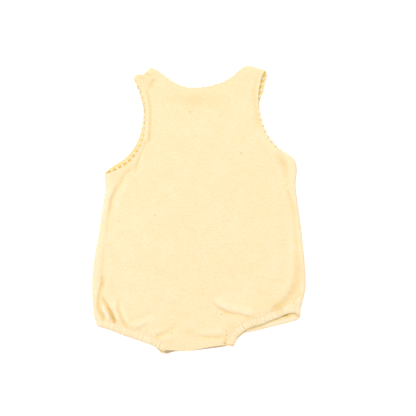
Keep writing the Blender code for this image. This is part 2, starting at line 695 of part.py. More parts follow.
def solid(name, points, faces, colour):
    """A mesh object from points in millimetres, with the garment's middle over the origin."""
    mesh = bpy.data.meshes.new(name)
    placed = (points - np.array((0.0, MIDDLE_Y, 0.0))) * MM
    mesh.from_pydata([tuple(point) for point in placed], [], faces)
    mesh.update()
    mesh.shade_smooth()
    mesh.set_sharp_from_angle(angle=math.radians(40))
    mesh.materials.append(cloth_material(name, colour))
    made = bpy.data.objects.new(name, mesh)
    bpy.context.collection.objects.link(made)
    return made


def main():
    for leftover in list(bpy.data.objects):
        bpy.data.objects.remove(leftover)
    panel("back_panel", BACK, BACK_STEP, BACK_RINGS, True, back_upper, back_lower, YELLOW)
    panel("front_panel", FRONT, FRONT_STEP, FRONT_RINGS, False, front_lower, front_upper, YELLOW)
    leg_band("left", True)
    leg_band("right", False)
    picot_tapes()


main()
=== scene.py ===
"""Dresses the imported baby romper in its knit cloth, on a pale floor under soft studio light.

Tables and sizes are in millimetres, meshes in metres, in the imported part's frame. The garment
lies on z = 0 with its back up, +Y from crotch to neck. "Left" and "right" are the -X and +X
edges as it lies.
"""

import math
from collections import namedtuple
from functools import reduce

import bpy
import numpy as np
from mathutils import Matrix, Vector
from mathutils.geometry import delaunay_2d_cdt


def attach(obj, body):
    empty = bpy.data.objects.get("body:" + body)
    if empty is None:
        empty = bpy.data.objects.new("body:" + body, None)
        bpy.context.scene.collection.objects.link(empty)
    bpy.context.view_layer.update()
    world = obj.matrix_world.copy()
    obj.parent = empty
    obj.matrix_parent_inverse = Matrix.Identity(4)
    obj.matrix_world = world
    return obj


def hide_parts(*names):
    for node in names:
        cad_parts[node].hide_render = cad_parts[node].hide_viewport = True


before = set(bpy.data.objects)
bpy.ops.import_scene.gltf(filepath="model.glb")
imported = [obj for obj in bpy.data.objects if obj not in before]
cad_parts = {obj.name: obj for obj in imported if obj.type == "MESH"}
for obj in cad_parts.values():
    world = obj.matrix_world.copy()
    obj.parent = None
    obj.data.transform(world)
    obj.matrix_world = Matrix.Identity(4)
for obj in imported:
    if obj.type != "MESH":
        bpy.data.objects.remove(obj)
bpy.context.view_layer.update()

# ------------------------------------------------------------------ sizes, in millimetres
MM = 0.001                # a millimetre in metres
CLOTH = 0.9               # wall of the knit cloth
GAP = 0.1                 # space between two layers
TAPE = 0.7                # thickness of the picot tape
TAPE_TUCK = 5.2           # how far a tape reaches inside its hem
TAPE_END = 6.5            # a tape stops this far from a side or shoulder seam
PICOT_REACH = 2.9         # how far a picot stands past the hem
PICOT_PITCH = 7.6         # from one picot to the next
BAND_WIDTH = 9.5          # leg band, from the leg's edge to the panel
BAND_THICK = 2.6          # leg band with its elastic
SEAM_GAP = 0.02           # what shows between two pieces at a seam
SEAM_HEIGHT = 2.95        # middle of the side seam above the floor
ROLL = 3.2                # width over which a panel curves into its seam
BODY_TOP = 3.9            # top of the back panel where it lies loose on the front
SEAM_TOP = 5.6            # top of the back panel beside the side and shoulder seams
LEG_TOP = 5.2             # top of the back panel at the leg bands
HIGHEST = 8.2             # no part of the back panel is higher
LIMIT_EASE = 0.25         # how softly a height meets its limits
MIDDLE_Y = 0.43           # the tables' y at the middle of the garment's length

FRONT_TAPE_TOP = CLOTH + GAP + TAPE          # what the back's tapes lie on
TAPE_LAYER = TAPE + GAP                      # a back tape with the space below it
BAND_TURN = BAND_THICK + GAP / 2             # outer radius of a band's turn at its corner
SEAM_REACH = BAND_WIDTH + GAP                # from the leg's edge to the panel's edge
HEM = TAPE_TUCK + 1.0                        # the back panel lies level on its tapes so far in
HEM_SLOPE = (HEM, HEM + 8.0)                 # and comes down off them between these distances
TAPE_SLOPE = (9.5, 15.0)                     # it comes down off the front's tapes between these
HOLE_SLOPE = (PICOT_REACH + 2.0, 12.0)       # and sinks into the front's neckline between these
NECK_SINKS = (0.16, 0.42)                    # shares of the neckline: the back's tape goes down
NECK_RISES = (0.60, 0.86)                    # into the front's lower neckline and up again
SEAM_SLOPE = (5.0, 20.0)                     # the back comes down from a seam between these
LEG_SLOPE = (5.0, 34.0)                      # and from a leg band between these
FOLD_EDGE = 3.5                              # folds fade out over this width at the leg bands
CORNER_EASE = (0.5, 9.0)                     # the front's leg edge leaves the back's corner here
BORDER_EASE = 0.22                           # share of a band in which it bends to its ends

# ------------------------------------------------------------------ cut of the panels
# The edges of the back panel. A row is x, y and how far the front panel's edge lies outside
# the back's edge there: nothing where it is left out, and inside where it is below zero.
CUT = {
    "side_left": (             # from the leg's corner up to the armpit
        (-128, -144.5), (-130.5, -135.5), (-132.5, -120.5), (-133.5, -100), (-132.5, -75.5),
        (-129, -50.5), (-124.5, -25.5), (-121, -0.5), (-117.5, 22.5), (-118, 44.8)),
    "side_right": (
        (125.5, -133.5), (126.5, -126.5), (129.5, -115), (133, -100.5), (133.5, -86.5),
        (132, -63), (129.5, -38), (126.5, -13), (123, 12), (121, 32.5), (122.5, 48.5),
        (121, 60), (116, 67), (105, 73.5)),
    "armhole_left": (          # from the armpit up to the shoulder
        (-118, 44.8), (-112, 46.7, 3.8), (-103.5, 50, 6.4), (-88.5, 59, 7.2),
        (-77.5, 71.5, 6.9), (-70, 87, 6.2), (-67, 107.5, 3.7), (-67.5, 127.5, 2.4),
        (-72, 144.5, 1.7), (-81, 163.2)),
    "armhole_right": (
        (105, 73.5), (96.7, 79.6), (88.9, 89), (82.1, 101.1, 0.2), (76.2, 119, 0.2),
        (74.4, 132, 1), (74.2, 140, 3.2), (75, 149, 5.9), (76.6, 158, 6.1), (78.8, 166, 5.8),
        (81.4, 171.8, 4.4), (83.2, 174.4)),
    "shoulder_left": (         # from the armhole to the neck
        (-81, 163.2), (-81.1, 166), (-78.4, 168.4), (-73.2, 169.3), (-67.6, 170.2),
        (-65.4, 172.8), (-63.3, 176.4), (-60.4, 178.3)),
    "shoulder_right": (        # from the neck to the armhole
        (55, 178.5), (58.5, 180), (64, 180), (72, 178), (77.5, 176.2), (83.2, 174.4)),
    "neck": (                  # from left to right
        (-60.4, 178.3), (-54.6, 175.6, -4), (-45.3, 169.6, -11.5), (-34.8, 161.9, -15.5),
        (-24.2, 155.9, -17.5), (-11, 152.9, -19), (4, 153.4, -19.5), (17.3, 155.8, -19),
        (29.6, 159.8, -17), (40.5, 166.1, -12.5), (48.1, 172.4, -6), (55, 178.5)),
    "leg_left": (              # from the outer corner to the crotch
        (-128, -144.5), (-121.5, -147, -1), (-111, -150, -1), (-97.5, -155.5, -1),
        (-81.5, -161, -1), (-66, -166.5, -1), (-57.5, -169.5, -1), (-50.5, -174, 1),
        (-45.65, -176.4, 3.2)),
    "leg_right": (             # from the crotch to the outer corner
        (44, -169.8), (45.8, -165.5), (49.4, -158.5), (56.4, -151.9), (66.9, -146.6),
        (79, -143), (91.5, -138), (102.5, -133.5), (109.5, -130.5), (115, -129),
        (120.5, -129.6), (123.9, -131.6), (125.5, -133.5)),
    "crotch": (                # between the two leg bands
        (-45.6, -176.4, 3), (-40, -175.5, 4.5), (-31, -175.7, 1.6), (-18, -176.3, 0.3),
        (-4.8, -175.2, 0.7), (7.7, -172.7, 1.5), (20.2, -170.4, 2.2), (28.5, -169.5, 2),
        (33.8, -169.4, 1)),
}
# The front's run of the right leg's edge stands open, a row for each row of the back's.
FRONT_LEG_RIGHT = (
    (43.6, -170.1), (45.6, -165.7), (50, -159.5), (57.5, -154), (68.6, -151.9),
    (81.3, -148.7), (93.8, -145.5), (105, -142.8), (111.5, -141.1), (116.8, -139.7),
    (121.5, -138.2), (124.6, -136.2), (125.5, -133.5))
# At each leg: whether its edge starts at the outer corner, and where the band's inner border
# ends at the crotch.
LEGS = {"left": (True, (-42.6, -166.4)), "right": (False, (33.8, -169.4))}
TAPED = ("armhole_left", "armhole_right", "neck")

# ------------------------------------------------------------------ small tools
BATCH = 6000              # places that are measured at a time
NO_LENGTH = 1e-12         # a step's squared length is never taken to be less


def smoothstep(value, low, high):
    share = np.clip((value - low) / (high - low), 0.0, 1.0)
    return share * share * (3.0 - 2.0 * share)


def fading(value, low, high):
    """One up to the low value, and zero from the high one."""
    return 1.0 - smoothstep(value, low, high)


def by_share(share, rows):
    """What rows of a share and a number give at each share."""
    return np.interp(share, *zip(*rows))


def smooth_line(rows, third=0.0, per_span=10):
    """Points along a soft curve through rows of x, y and a third number, if it isn't left out."""
    knots = np.array([(*row, third)[:3] for row in rows], float)
    chords = np.sqrt(np.hypot(*np.diff(knots[:, :2], axis=0).T))
    time = np.concatenate(([0.0], np.cumsum(chords)))
    slopes = np.gradient(knots, time, axis=0)
    points = []
    for start in range(len(knots) - 1):
        span = time[start + 1] - time[start]
        for step in range(per_span):
            t = step / per_span
            points.append(
                (1 + 2 * t) * (1 - t) ** 2 * knots[start]
                + t * (1 - t) ** 2 * span * slopes[start]
                + t * t * (3 - 2 * t) * knots[start + 1]
                + t * t * (t - 1) * span * slopes[start + 1])
    points.append(knots[-1])
    return np.array(points)


def lengths_along(points):
    steps = np.hypot(*np.diff(points[:, :2], axis=0).T)
    return np.concatenate(([0.0], np.cumsum(steps)))


def length_of(points):
    return lengths_along(points)[-1]


def columns_at(places, along, points):
    """The points' columns at these places along them."""
    return np.column_stack([np.interp(places, along, column) for column in points.T])


def read_line(points, shares):
    """The line's columns at these shares of its length."""
    along = lengths_along(points)
    return columns_at(np.asarray(shares) * along[-1], along, points)


def nearest(places, path):
    """Each place's distance to the path, share of its length, and side: +1 right, -1 left."""
    start, end = path[:-1, :2], path[1:, :2]
    run = end - start
    square = np.maximum((run ** 2).sum(axis=1), NO_LENGTH)
    along = lengths_along(path)
    found = [np.zeros((3, 0))]
    for first in range(0, len(places), BATCH):
        offset = places[first:first + BATCH, None, :2] - start[None, :, :]
        part = np.clip((offset * run).sum(axis=2) / square, 0.0, 1.0)
        distance = np.hypot(*np.moveaxis(offset - part[..., None] * run, 2, 0))
        best = distance.argmin(axis=1)
        row = np.arange(len(best))
        away = offset[row, best]
        found.append(np.array((
            distance[row, best],
            (along[best] + part[row, best] * np.sqrt(square[best])) / along[-1],
            np.sign(away[:, 0] * run[best, 1] - away[:, 1] * run[best, 0]))))
    return np.hstack(found)


def distance_to(places, *paths):
    return np.min([nearest(places, path)[0] for path in paths], axis=0)


def nearest_within(places, path, reach):
    """The indices of the places within reach of the path's box, and their "nearest"."""
    low, high = path[:, :2].min(axis=0) - reach, path[:, :2].max(axis=0) + reach
    near = np.nonzero(((places[:, :2] >= low) & (places[:, :2] <= high)).all(axis=1))[0]
    return near, *nearest(places[near], path)


def left_of(points):
    """Unit vectors to the left of the way along a line."""
    way = np.gradient(points[:, :2], axis=0)
    way /= np.linalg.norm(way, axis=1)[:, None]
    return np.column_stack((-way[:, 1], way[:, 0]))


def moved_out(points, side):
    """The front panel's edge: the back's edge moved by its third column."""
    shifted = points.copy()
    shifted[:, :2] += side * left_of(points) * points[:, 2:3]
    return shifted


# ------------------------------------------------------------------ edges
# OUTSIDE is +1 where the outside of the garment is to the left of the way along the edge.
OUTSIDE = {"armhole_left": 1, "armhole_right": -1, "neck": 1, "leg_left": -1, "crotch": -1}
BACK = {name: smooth_line(rows) for name, rows in CUT.items()}
FRONT = dict(BACK)
for edge, outward in OUTSIDE.items():
    FRONT[edge] = moved_out(BACK[edge], outward)
FRONT["leg_right"] = smooth_line(FRONT_LEG_RIGHT)
SIDES = [BACK["side_left"], BACK["side_right"]]
SEAMS = SIDES + [BACK["shoulder_left"], BACK["shoulder_right"]]


def band_border(leg, side, band_end, corner_first):
    """The back panel's edge along a leg band, a point for each point of the leg's edge."""
    along = lengths_along(leg) / length_of(leg)
    border = leg[:, :2] + left_of(leg) * SEAM_REACH
    on_side = read_line(side, [SEAM_REACH / length_of(side)])[0, :2]
    from_corner = along if corner_first else 1.0 - along
    corner, crotch = (0, -1) if corner_first else (-1, 0)
    corner_pull = fading(from_corner, 0.0, BORDER_EASE)
    crotch_pull = fading(1.0 - from_corner, 0.0, BORDER_EASE)
    return (border + corner_pull[:, None] * (on_side - border[corner])
            + crotch_pull[:, None] * (np.array(band_end) - border[crotch]))


def front_border(border, leg, front_leg, corner_first):
    """The front panel's edge along its run of the band; it meets the back's at the corner."""
    along = lengths_along(leg)
    from_corner = along if corner_first else along[-1] - along
    away = smoothstep(from_corner, *CORNER_EASE)[:, None]
    return border + (front_leg[:, :2] - leg[:, :2]) * away


for hand, (corner_first, band_end) in LEGS.items():
    leg = BACK["leg_" + hand]
    border = band_border(leg, BACK["side_" + hand], band_end, corner_first)
    BACK["border_" + hand] = border
    FRONT["border_" + hand] = front_border(border, leg, FRONT["leg_" + hand], corner_first)
BORDERS = [BACK["border_left"], BACK["border_right"]]
for edges in (BACK, FRONT):      # the panel's short edge beside the left band's end
    edges["end_left"] = np.array((edges["border_left"][-1, :2], edges["crotch"][0, :2]))

# ------------------------------------------------------------------ folds of the back
# A fold is a soft trough (rise below zero) or ridge along a smooth line. A third number in a
# row of its path is the share of its rise that it has there. "lean" makes it wider on the
# right of its way and narrower on the left, or the other way round below zero. "shade" is
# how much of the cloth's own colour gathers in it.
Fold = namedtuple("Fold", "name path width rise lean shade", defaults=(0.0, 1.0))
FOLD_FADE = {2: 0.22, 3: 0.05}    # share of its length over which an end fades, by a row's size
FOLD_NEAR = 4.0           # a fold ends at so many of its widths
FOLDS = (
    Fold("left armhole groove", ((-67, 152.5, 0.2), (-65.4, 149.3, 0.8), (-63.5, 141.8, 0.8),
         (-61, 131.8, 0.9), (-60.5, 121.8, 0.9), (-60.5, 111.8, 1.1), (-61.2, 101.8, 1),
         (-61.8, 91.8, 1.3), (-62.2, 83, 0.8)), 1.25, -1.6),
    Fold("left armhole hem", ((-70, 153), (-66.5, 141), (-64.5, 126), (-64.5, 108), (-66, 92),
         (-70, 80)), 1.9, 0.5),
    Fold("below the left armhole", ((-64.5, 87, 0.5), (-67.2, 81.8, 0.9), (-71, 74.3, 0.8),
         (-74.4, 66.8, 1), (-76.7, 59.3, 1.3), (-78.5, 51.8, 0.8), (-79.2, 46, 0.1)),
         1.5, -1.5, 0.2),
    Fold("beside the fold below the left armhole", ((-61, 86), (-66.5, 77), (-70.5, 68), (-73, 58),
         (-74.5, 48)), 1.9, 0.5),
    Fold("second below the left armhole", ((-80, 68), (-84, 60), (-86, 52), (-90, 44)),
         2.4, -0.35),
    Fold("left side, upper", ((-80, 57, 0.2), (-85.5, 50.5, 0.7), (-92.8, 44.3, 0.9),
         (-96.1, 36.8, 1.1), (-100.3, 29.3, 0.9), (-104.9, 21.8, 1.1), (-109, 11.8, 1.6),
         (-110.3, 1.8, 1.6), (-112.8, -8.2, 0.9), (-114.2, -18.2, 0.7), (-114.2, -28, 0.5),
         (-115, -38, 0.2)), 2.1, -1.15, 0.1),
    Fold("left side, ridge", ((-84, 44), (-92, 31), (-100, 15), (-104, 0), (-108, -14)), 4.2, 0.6),
    Fold("left side, outer ridge", ((-98, 43), (-107, 30), (-114, 16), (-117.5, 0), (-121, -18)),
         3.4, 0.4),
    Fold("left side, middle", ((-116.5, -42, 0.2), (-117.9, -50.7, 0.6), (-119.8, -63.2, 1),
         (-121.2, -75.7, 0.9), (-120.4, -86, 1.3)), 2, -0.7),
    Fold("left side, second ridge", ((-112, -20), (-113, -45), (-114, -66), (-115, -84)), 4, 0.4),
    Fold("left leg, outer", ((-120.5, -82, 0.5), (-120.2, -92, 1.1), (-122, -98.2, 1),
         (-123.7, -105, 0.9), (-125.2, -113, 0.9), (-125.6, -118.2, 1.1), (-125, -123.2, 1.1),
         (-123.4, -128.2, 1.05), (-120.3, -133.2, 1.1), (-119.2, -138.2, 1.1),
         (-118.6, -145, 0.7)), 1.9, -2.1, 0, 1.15),
    Fold("left leg, between", ((-118.5, -116), (-118.5, -124), (-115, -131), (-112, -141)),
         2.4, 1.5),
    Fold("left leg, deepest", ((-121.5, -107.5, 0.25), (-118.4, -113.2, 0.4),
         (-114.9, -118.2, 0.5), (-112.5, -123.2, 0.65), (-109.7, -128.2, 0.95),
         (-107.8, -133.2, 1.1), (-105.6, -138.2, 1.15), (-104.8, -143.2, 0.8),
         (-103.6, -147.5, 0.3)), 1.75, -3.9, -0.3, 1.25),
    Fold("left leg, beyond the deepest", ((-108, -114), (-105.5, -122), (-102.5, -131),
         (-98, -142)), 2.5, 1.3),
    Fold("left leg, inner", ((-99, -108, 0.15), (-99.8, -115.7, 0.35), (-100.4, -120.7, 0.5),
         (-100.3, -125.7, 0.8), (-98.6, -130.7, 0.9), (-97.2, -135.7, 1.05), (-94.3, -140.7, 1.05),
         (-91.5, -145.7, 0.9), (-88, -150, 0.5)), 1.75, -2, 0.2),
    Fold("left leg, inner, ridge", ((-96, -114), (-95.5, -126), (-91, -136), (-85, -143)),
         3.2, 0.8),
    Fold("left leg, faint", ((-94, -137), (-84, -137.5), (-73, -134), (-65, -130.5), (-54, -130)),
         2.8, -0.7),
    Fold("left leg, second faint", ((-88, -149.5, 0.5), (-80, -151.3, 1), (-74, -149.2, 1.1),
         (-68, -145.5, 1), (-61, -141, 0.4)), 2.2, -0.8),
    Fold("left of the crotch", ((-24, -142.5, 0.3), (-32.9, -147.7, 0.8), (-40.4, -153.3, 1.1),
         (-47.9, -156.6, 1.5), (-55.4, -159.4, 0.9), (-61, -160, 0.3)), 2.3, -1, 0.2),
    Fold("left of the crotch, ridge", ((-24, -149), (-35, -157), (-46, -164), (-54, -166)),
         3.4, 0.5),
    Fold("ridge by the left leg", ((-52, -134), (-64, -138.5), (-76, -143), (-86, -144)),
         3.4, 0.45),
    Fold("second ridge by the left leg", ((-44, -147), (-54, -152), (-66, -154), (-76, -156)),
         3, 0.4),
    Fold("right armpit", ((97.5, 73, 0.2), (102.6, 64.3, 0.9), (106.5, 55.6, 1.1),
         (108.4, 46.8, 0.9), (110, 36.8, 0.6), (109.4, 27, 0.4)), 3.3, -1.5, 0, 1.2),
    Fold("right side, upper", ((109.5, 27, 0.5), (111.5, 21, 0.9), (114, 14.8, 1.1),
         (117, 6.8, 1.2), (119.4, -3.2, 0.9), (120.2, -13, 0.7), (120.7, -23, 0.6),
         (121, -33, 0.8), (122.5, -43, 0.8), (123, -55, 0.6), (123.6, -66, 0.4)),
         2.6, -1.25, 0, 1.2),
    Fold("right side, lower", ((122.5, -48, 0.2), (123.8, -64, 0.5), (124.6, -75, 0.9),
         (124, -86, 0.95), (122, -95, 1), (117.5, -103.5, 1), (110.5, -112, 1.05),
         (102.5, -119.5, 1.1), (96.5, -125.5, 1.1), (91, -130.5, 0.6)), 4.9, -1.7, 0, 1.75),
    Fold("right side, inner ridge", ((115, -30), (117, -56), (116.5, -78), (111, -94),
         (101, -107)), 4.6, 0.5),
    Fold("right leg corner, outer", ((130, -101), (126.4, -106.5), (121.6, -110.6), (117, -117.5)),
         1.5, -1.3, 0, 0.8),
    Fold("right leg corner, inner", ((121, -114), (117.5, -119), (114.5, -123.4), (112, -128)),
         1.4, -1.2, 0, 0.8),
    Fold("right leg corner, ridge", ((127, -108), (121.5, -116), (118, -123)), 1.8, 0.6),
    Fold("lower right", ((12, -110.5, 0.1), (17.1, -115.9, 0.35), (22.1, -120.7, 0.7),
         (27.1, -124.3, 1), (34.6, -128, 1.3), (42.1, -129.6, 1.05), (49.6, -130.6, 0.95),
         (57.1, -132.6, 0.95), (64.6, -134.8, 0.8), (72.1, -136.3, 0.7), (80, -138.5, 0.3)),
         1.9, -1.25, -0.2),
    Fold("lower right, ridge", ((19, -108), (26, -116), (36, -121.5), (50, -124), (64, -128),
         (74, -131.5)), 5, 1.3),
    Fold("crotch hem, right", ((-3, -158, 0.3), (0, -158, 0.5), (7.1, -159, 1),
         (14.6, -159.6, 1.05), (22.1, -159, 1), (28, -158, 0.6), (34, -156, 0.3)), 1.8, -1.1),
    Fold("crotch, ridge", ((-4, -153), (10, -152.5), (24, -151), (36, -148)), 3.2, 0.6),
    Fold("crotch, middle", ((-22, -154, 0.3), (-16, -154.3, 0.9), (-8, -154, 0.7),
         (-3, -155, 0.2)), 1.6, -0.5),
    Fold("beside the right band's end", ((33.8, -157.5, 0.2), (33.4, -163, 0.8),
         (32.8, -169, 1.3)), 1.2, -1.1, 0, 1.8),
    Fold("gathers by the right band, first", ((20, -160), (28, -160.5), (33, -162)), 1.2, -0.7),
    Fold("gathers by the right band, second", ((28, -149), (33, -151), (38, -155)), 1.3, -0.7),
    Fold("gathers by the right band, third", ((34, -142), (38, -145.5), (42, -150)), 1.3, -0.7),
    Fold("right armhole hollow", ((75, 172), (72.6, 164), (70.4, 154), (70.2, 137.4), (71.8, 124),
         (74.5, 111), (80, 98)), 2.3, -1),
    Fold("right armhole hem", ((77.5, 166), (75, 154), (73.4, 142), (74.2, 128), (77.5, 113),
         (84, 97)), 1.7, 0.45),
    Fold("below the neck", ((-38, 144), (-26, 139), (-8, 134), (10, 135), (24, 140), (31, 145)),
         6, -0.7),
    Fold("below the neck, second", ((-8, 130), (8, 129), (24, 131)), 5, -0.35),
    Fold("left shoulder dimple", ((-61, 155, 0.5), (-59.5, 159, 1), (-56, 161.8, 1),
         (-52, 162, 0.5)), 1.7, -0.9, 0, 1.3),
    Fold("left shoulder dimple, below", ((-61.5, 150, 0.5), (-59.5, 154, 1), (-55, 157, 0.6)),
         2, -0.6, 0, 1.3),
    Fold("left shoulder, along the seam", ((-76, 166.6), (-71.5, 164.5), (-66.5, 161.5)),
         1.5, -0.9),
    Fold("left shoulder, below the notch", ((-67.6, 171.2), (-64.5, 169), (-61, 168.5),
         (-57.5, 167)), 1.5, -1),
    Fold("short ridge on the back", ((-29, 91), (-22, 94.5), (-14, 98), (-9, 100.5)), 2.4, 0.2),
)
# A patch is a soft round place, such as a swelling of the back.
Patch = namedtuple("Patch", "name x y across along rise")
PUFFS = (
    Patch("right armpit", 115, 52, 6, 10, 1),
    Patch("left of the armhole", -109, 33, 7, 13, 0.6),
    Patch("left leg corner", -116, -126, 5, 8, 0.8),
    Patch("left leg", -80, -143, 15, 7, 0.8),
    Patch("between the left leg's folds", -105, -122, 4, 9, 0.9),
    Patch("lower right", 50, -117, 24, 7, 0.9),
    Patch("right leg", 88, -124, 14, 7, 1),
    Patch("right leg corner", 122, -118, 5, 7, 0.7),
    Patch("right hip", 108, -78, 12, 30, 0.5),
    Patch("left hip", -108, -80, 10, 28, 0.5),
    Patch("crotch, left", -22, -163, 12, 7, 0.6),
    Patch("crotch, right", 22, -163, 12, 5, 0.4),
    Patch("seat", -8, -70, 62, 50, 0.5),
    Patch("middle of the back", 6, 40, 55, 40, 0.3),
    Patch("left shoulder", -63, 165, 7, 5, 0.3),
    Patch("right shoulder", 64, 168, 8, 8, 0.3),
)
# Small puckers of the back where the leg bands gather it, and their strength by the share of
# the border's length.
PUCKER_PITCH = 3.9
PUCKER_REACH = 6.0
PUCKER_NEAR = 3.0 * PUCKER_REACH     # nothing further off has any
PUCKER_UNEVEN = 0.45      # share by which the reach goes up and down,
PUCKER_BEAT = 0.55        # and how fast it does
PUCKER_SIZES = {
    "left": ((0, 0.3), (0.1, 0.4), (0.4, 0.45), (0.7, 0.4), (0.92, 0.5), (1, 0.6)),
    "right": ((0, 0.9), (0.1, 0.9), (0.3, 0.75), (0.5, 0.5), (0.8, 0.45), (1, 0.4))}
# Painted shade in small spots, the hollows where the picots are sewn into the armholes' hems.
# The strength of each hollow goes by its share of the armhole's length, and the hollows lie this
# far in.
HOLLOW_SIZES = {
    "armhole_left": ((0, 0), (0.6, 0), (0.72, 0.5), (0.85, 0.8), (1, 0.7)),
    "armhole_right": ((0, 0.4), (0.1, 1), (0.35, 1), (0.55, 0.5), (0.66, 0), (1, 0))}
HOLLOW_DEPTH = 0.55
HOLLOW_REACH = 4.0        # nothing further in than this has a hollow
HOLLOW_NEAR = 1.5 * HOLLOW_REACH
# The slight waves of cloth that was worn and laid down, a tenth of a millimetre or so.
WAVES = 7
WAVE_RISE = 0.045         # of a wave that is WAVE_LENGTH long
WAVE_LENGTH = 30.0
SHORTEST, LONGER_BY = 14.0, 5.5      # the first wave's length, and how much the next one adds
TURNED, TURNED_BY = 0.3, 2.4         # its way, and how much further the next one's is turned
BEND, BEND_LENGTHS, BEND_SHIFT, WAVE_SHIFT = 1.6, 2.3, 1.7, 2.1


# ------------------------------------------------------------------ shade
# Painted shade counts how often light has bounced between faces of the yellow cloth.
INSIDE_SHADE = 0.15       # everywhere on the front's inner face
UNDER_EDGE_SHADE = 2.2    # right under the back's edge
UNDER_EDGE_SLOPE = (0.8, 2.6)
BESIDE_EDGE_SHADE = 1.5   # and a little further out
BESIDE_EDGE_SLOPE = (2.6, 5.6)
UNDER_EDGE = {            # by the share of the edge's length
    "armhole_left": ((0, 1.7), (0.33, 1.5), (0.48, 0.5), (0.65, 0.25), (1, 0.3)),
    "armhole_right": ((0, 0.6), (0.6, 0.6), (0.72, 1.2), (0.88, 1.2), (1, 0.5))}
FOLD_SHADE = 0.30         # for each millimetre of a fold's depth at SHADE_WIDTH
SHADE_WIDTH = 4.2
SHADE_NARROWS = 0.8       # power by which narrower folds are shadier
CREST_HIGHLIGHT = 0.42         # painted highlight, for each millimetre of a ridge
SIDE_SHEEN = 0.28          # painted sheen of the fuzz on the rounded sides
SIDE_SHEEN_SLOPE = (3.0, 13.0)
SHADES = (
    Patch("the left side, nearest the light", -98, -70, 36, 95, -0.13),
    Patch("below the neck", -6, 138, 30, 8, 0.25),
    Patch("below the neck, left", -32, 140, 10, 5, 0.12),
    Patch("below the neck, right", 14, 141, 12, 5, 0.12),
    Patch("by the right leg", 98, -121, 11, 6, 0.35),
    Patch("notch of the left shoulder", -66.2, 171.2, 2, 2.4, 2),
    Patch("left shoulder's corner", -75, 168.4, 1.6, 1.8, 1.4),
    Patch("left shoulder's edge", -79.5, 158, 2, 7, 0.5),
)


# ------------------------------------------------------------------ heights
def roll(share):
    """A quarter round: 0 at a seam, 1 where the panel lies level."""
    share = np.clip(share, 0.0, 1.0)
    return np.sqrt(1.0 - (1.0 - share) ** 2)


def tape_seat(places, edge):
    """What a back tape lies on: the front's tape, or the floor in the middle of the neck."""
    if edge != "neck":
        return np.full(len(places), FRONT_TAPE_TOP)
    _, share, _ = nearest(places, BACK["neck"])
    over_hole = smoothstep(share, *NECK_SINKS) * fading(share, *NECK_RISES)
    return FRONT_TAPE_TOP * (1.0 - over_hole)


def front_support(places):
    """Height of the front panel with its tapes, eased so that cloth can lie over it."""
    armholes = distance_to(places, FRONT["armhole_left"], FRONT["armhole_right"])
    neck_line = FRONT["neck"]
    to_neck = distance_to(places, neck_line)
    in_hole = places[:, 1] > np.interp(places[:, 0], neck_line[:, 0], neck_line[:, 1])
    inside = np.where(in_hole, 0.0, to_neck)
    outside = np.where(in_hole, to_neck, 0.0)
    on_tape = fading(np.minimum(armholes, inside), *TAPE_SLOPE)
    height = CLOTH + (FRONT_TAPE_TOP - CLOTH) * on_tape
    return height * fading(outside, *HOLE_SLOPE)


def back_support(places):
    """Lowest underside of the back panel."""
    support = front_support(places)
    for edge in TAPED:
        over_tape = fading(distance_to(places, BACK[edge]), *HEM_SLOPE)
        support = support + (tape_seat(places, edge) - support) * over_tape
    hem = distance_to(places, *(BACK[edge] for edge in TAPED))
    return support + TAPE_LAYER * fading(hem, *HEM_SLOPE) + GAP


def fold_profile(places, fold):
    """The places near a fold, and the share of its rise that each of them has."""
    line = smooth_line(fold.path, 1.0, 5)
    near, distance, share, side = nearest_within(places, line, FOLD_NEAR * fold.width)
    along = lengths_along(line)
    size = np.interp(share, along / along[-1], line[:, 2])
    size = size * smoothstep(np.minimum(share, 1.0 - share), 0.0, FOLD_FADE[len(fold.path[0])])
    width = fold.width * (1.0 - fold.lean * side)
    return near, size * np.exp(-(distance / width) ** 2)


def patch_rise(places, patch):
    across = (places[:, 0] - patch.x) / patch.across
    along = (places[:, 1] - patch.y) / patch.along
    return patch.rise * np.exp(-across ** 2 - along ** 2)


def fold_rise(places):
    rise = np.zeros(len(places))
    for fold in FOLDS:
        near, size = fold_profile(places, fold)
        rise[near] += fold.rise * size
    for puff in PUFFS:
        rise += patch_rise(places, puff)
    return rise


def unevenness(places):
    """A few long waves, each turned, bent and shifted in its own way."""
    x, y = places[:, 0], places[:, 1]
    rise = np.zeros(len(places))
    for index in range(WAVES):
        turn = TURNED_BY * index + TURNED
        length = SHORTEST + LONGER_BY * index
        phase = (x * math.cos(turn) + y * math.sin(turn)) / length * 2 * math.pi
        across = y * math.cos(turn) - x * math.sin(turn)
        bend = np.sin(across / (BEND_LENGTHS * length) + BEND_SHIFT * index)
        wave = np.sin(phase + BEND * bend + WAVE_SHIFT * index)
        rise += wave * WAVE_RISE * length / WAVE_LENGTH
    return rise


def pucker_marks(places):
    """For each place, how far along a leg band it lies and how much the band gathers it."""
    marks = np.zeros((len(places), 3))
    for hand, sizes in PUCKER_SIZES.items():
        border = BACK["border_" + hand]
        near, distance, share, _ = nearest_within(places, border, PUCKER_NEAR)
        along = share * length_of(border)
        reach = PUCKER_REACH * (1.0 + PUCKER_UNEVEN * np.sin(PUCKER_BEAT * along + 1.0))
        size = by_share(share, sizes) * np.exp(-(distance / reach) ** 2)
        marks[near, 0] = np.where(size > marks[near, 1], along, marks[near, 0])
        marks[near, 1] = np.maximum(size, marks[near, 1])
    return marks


def picot_run(line):
    """The length of an edge that its picots share, and how many they are."""
    free = length_of(line) - 2 * TAPE_END
    return free, round(free / PICOT_PITCH)


def hollow_marks(places):
    """For each place by an armhole: its way between two picots, depth and hollows' painted shade.
    """
    marks = np.zeros((len(places), 3))
    for edge, sizes in HOLLOW_SIZES.items():
        line = BACK[edge]
        near, distance, share, _ = nearest_within(places, line, HOLLOW_NEAR)
        free, picots = picot_run(line)
        phase = (share * length_of(line) - TAPE_END) / (free / picots)
        here = distance < HOLLOW_REACH
        marks[near[here]] = np.column_stack(
            (phase * PICOT_PITCH, distance, by_share(share, sizes)))[here]
    return marks


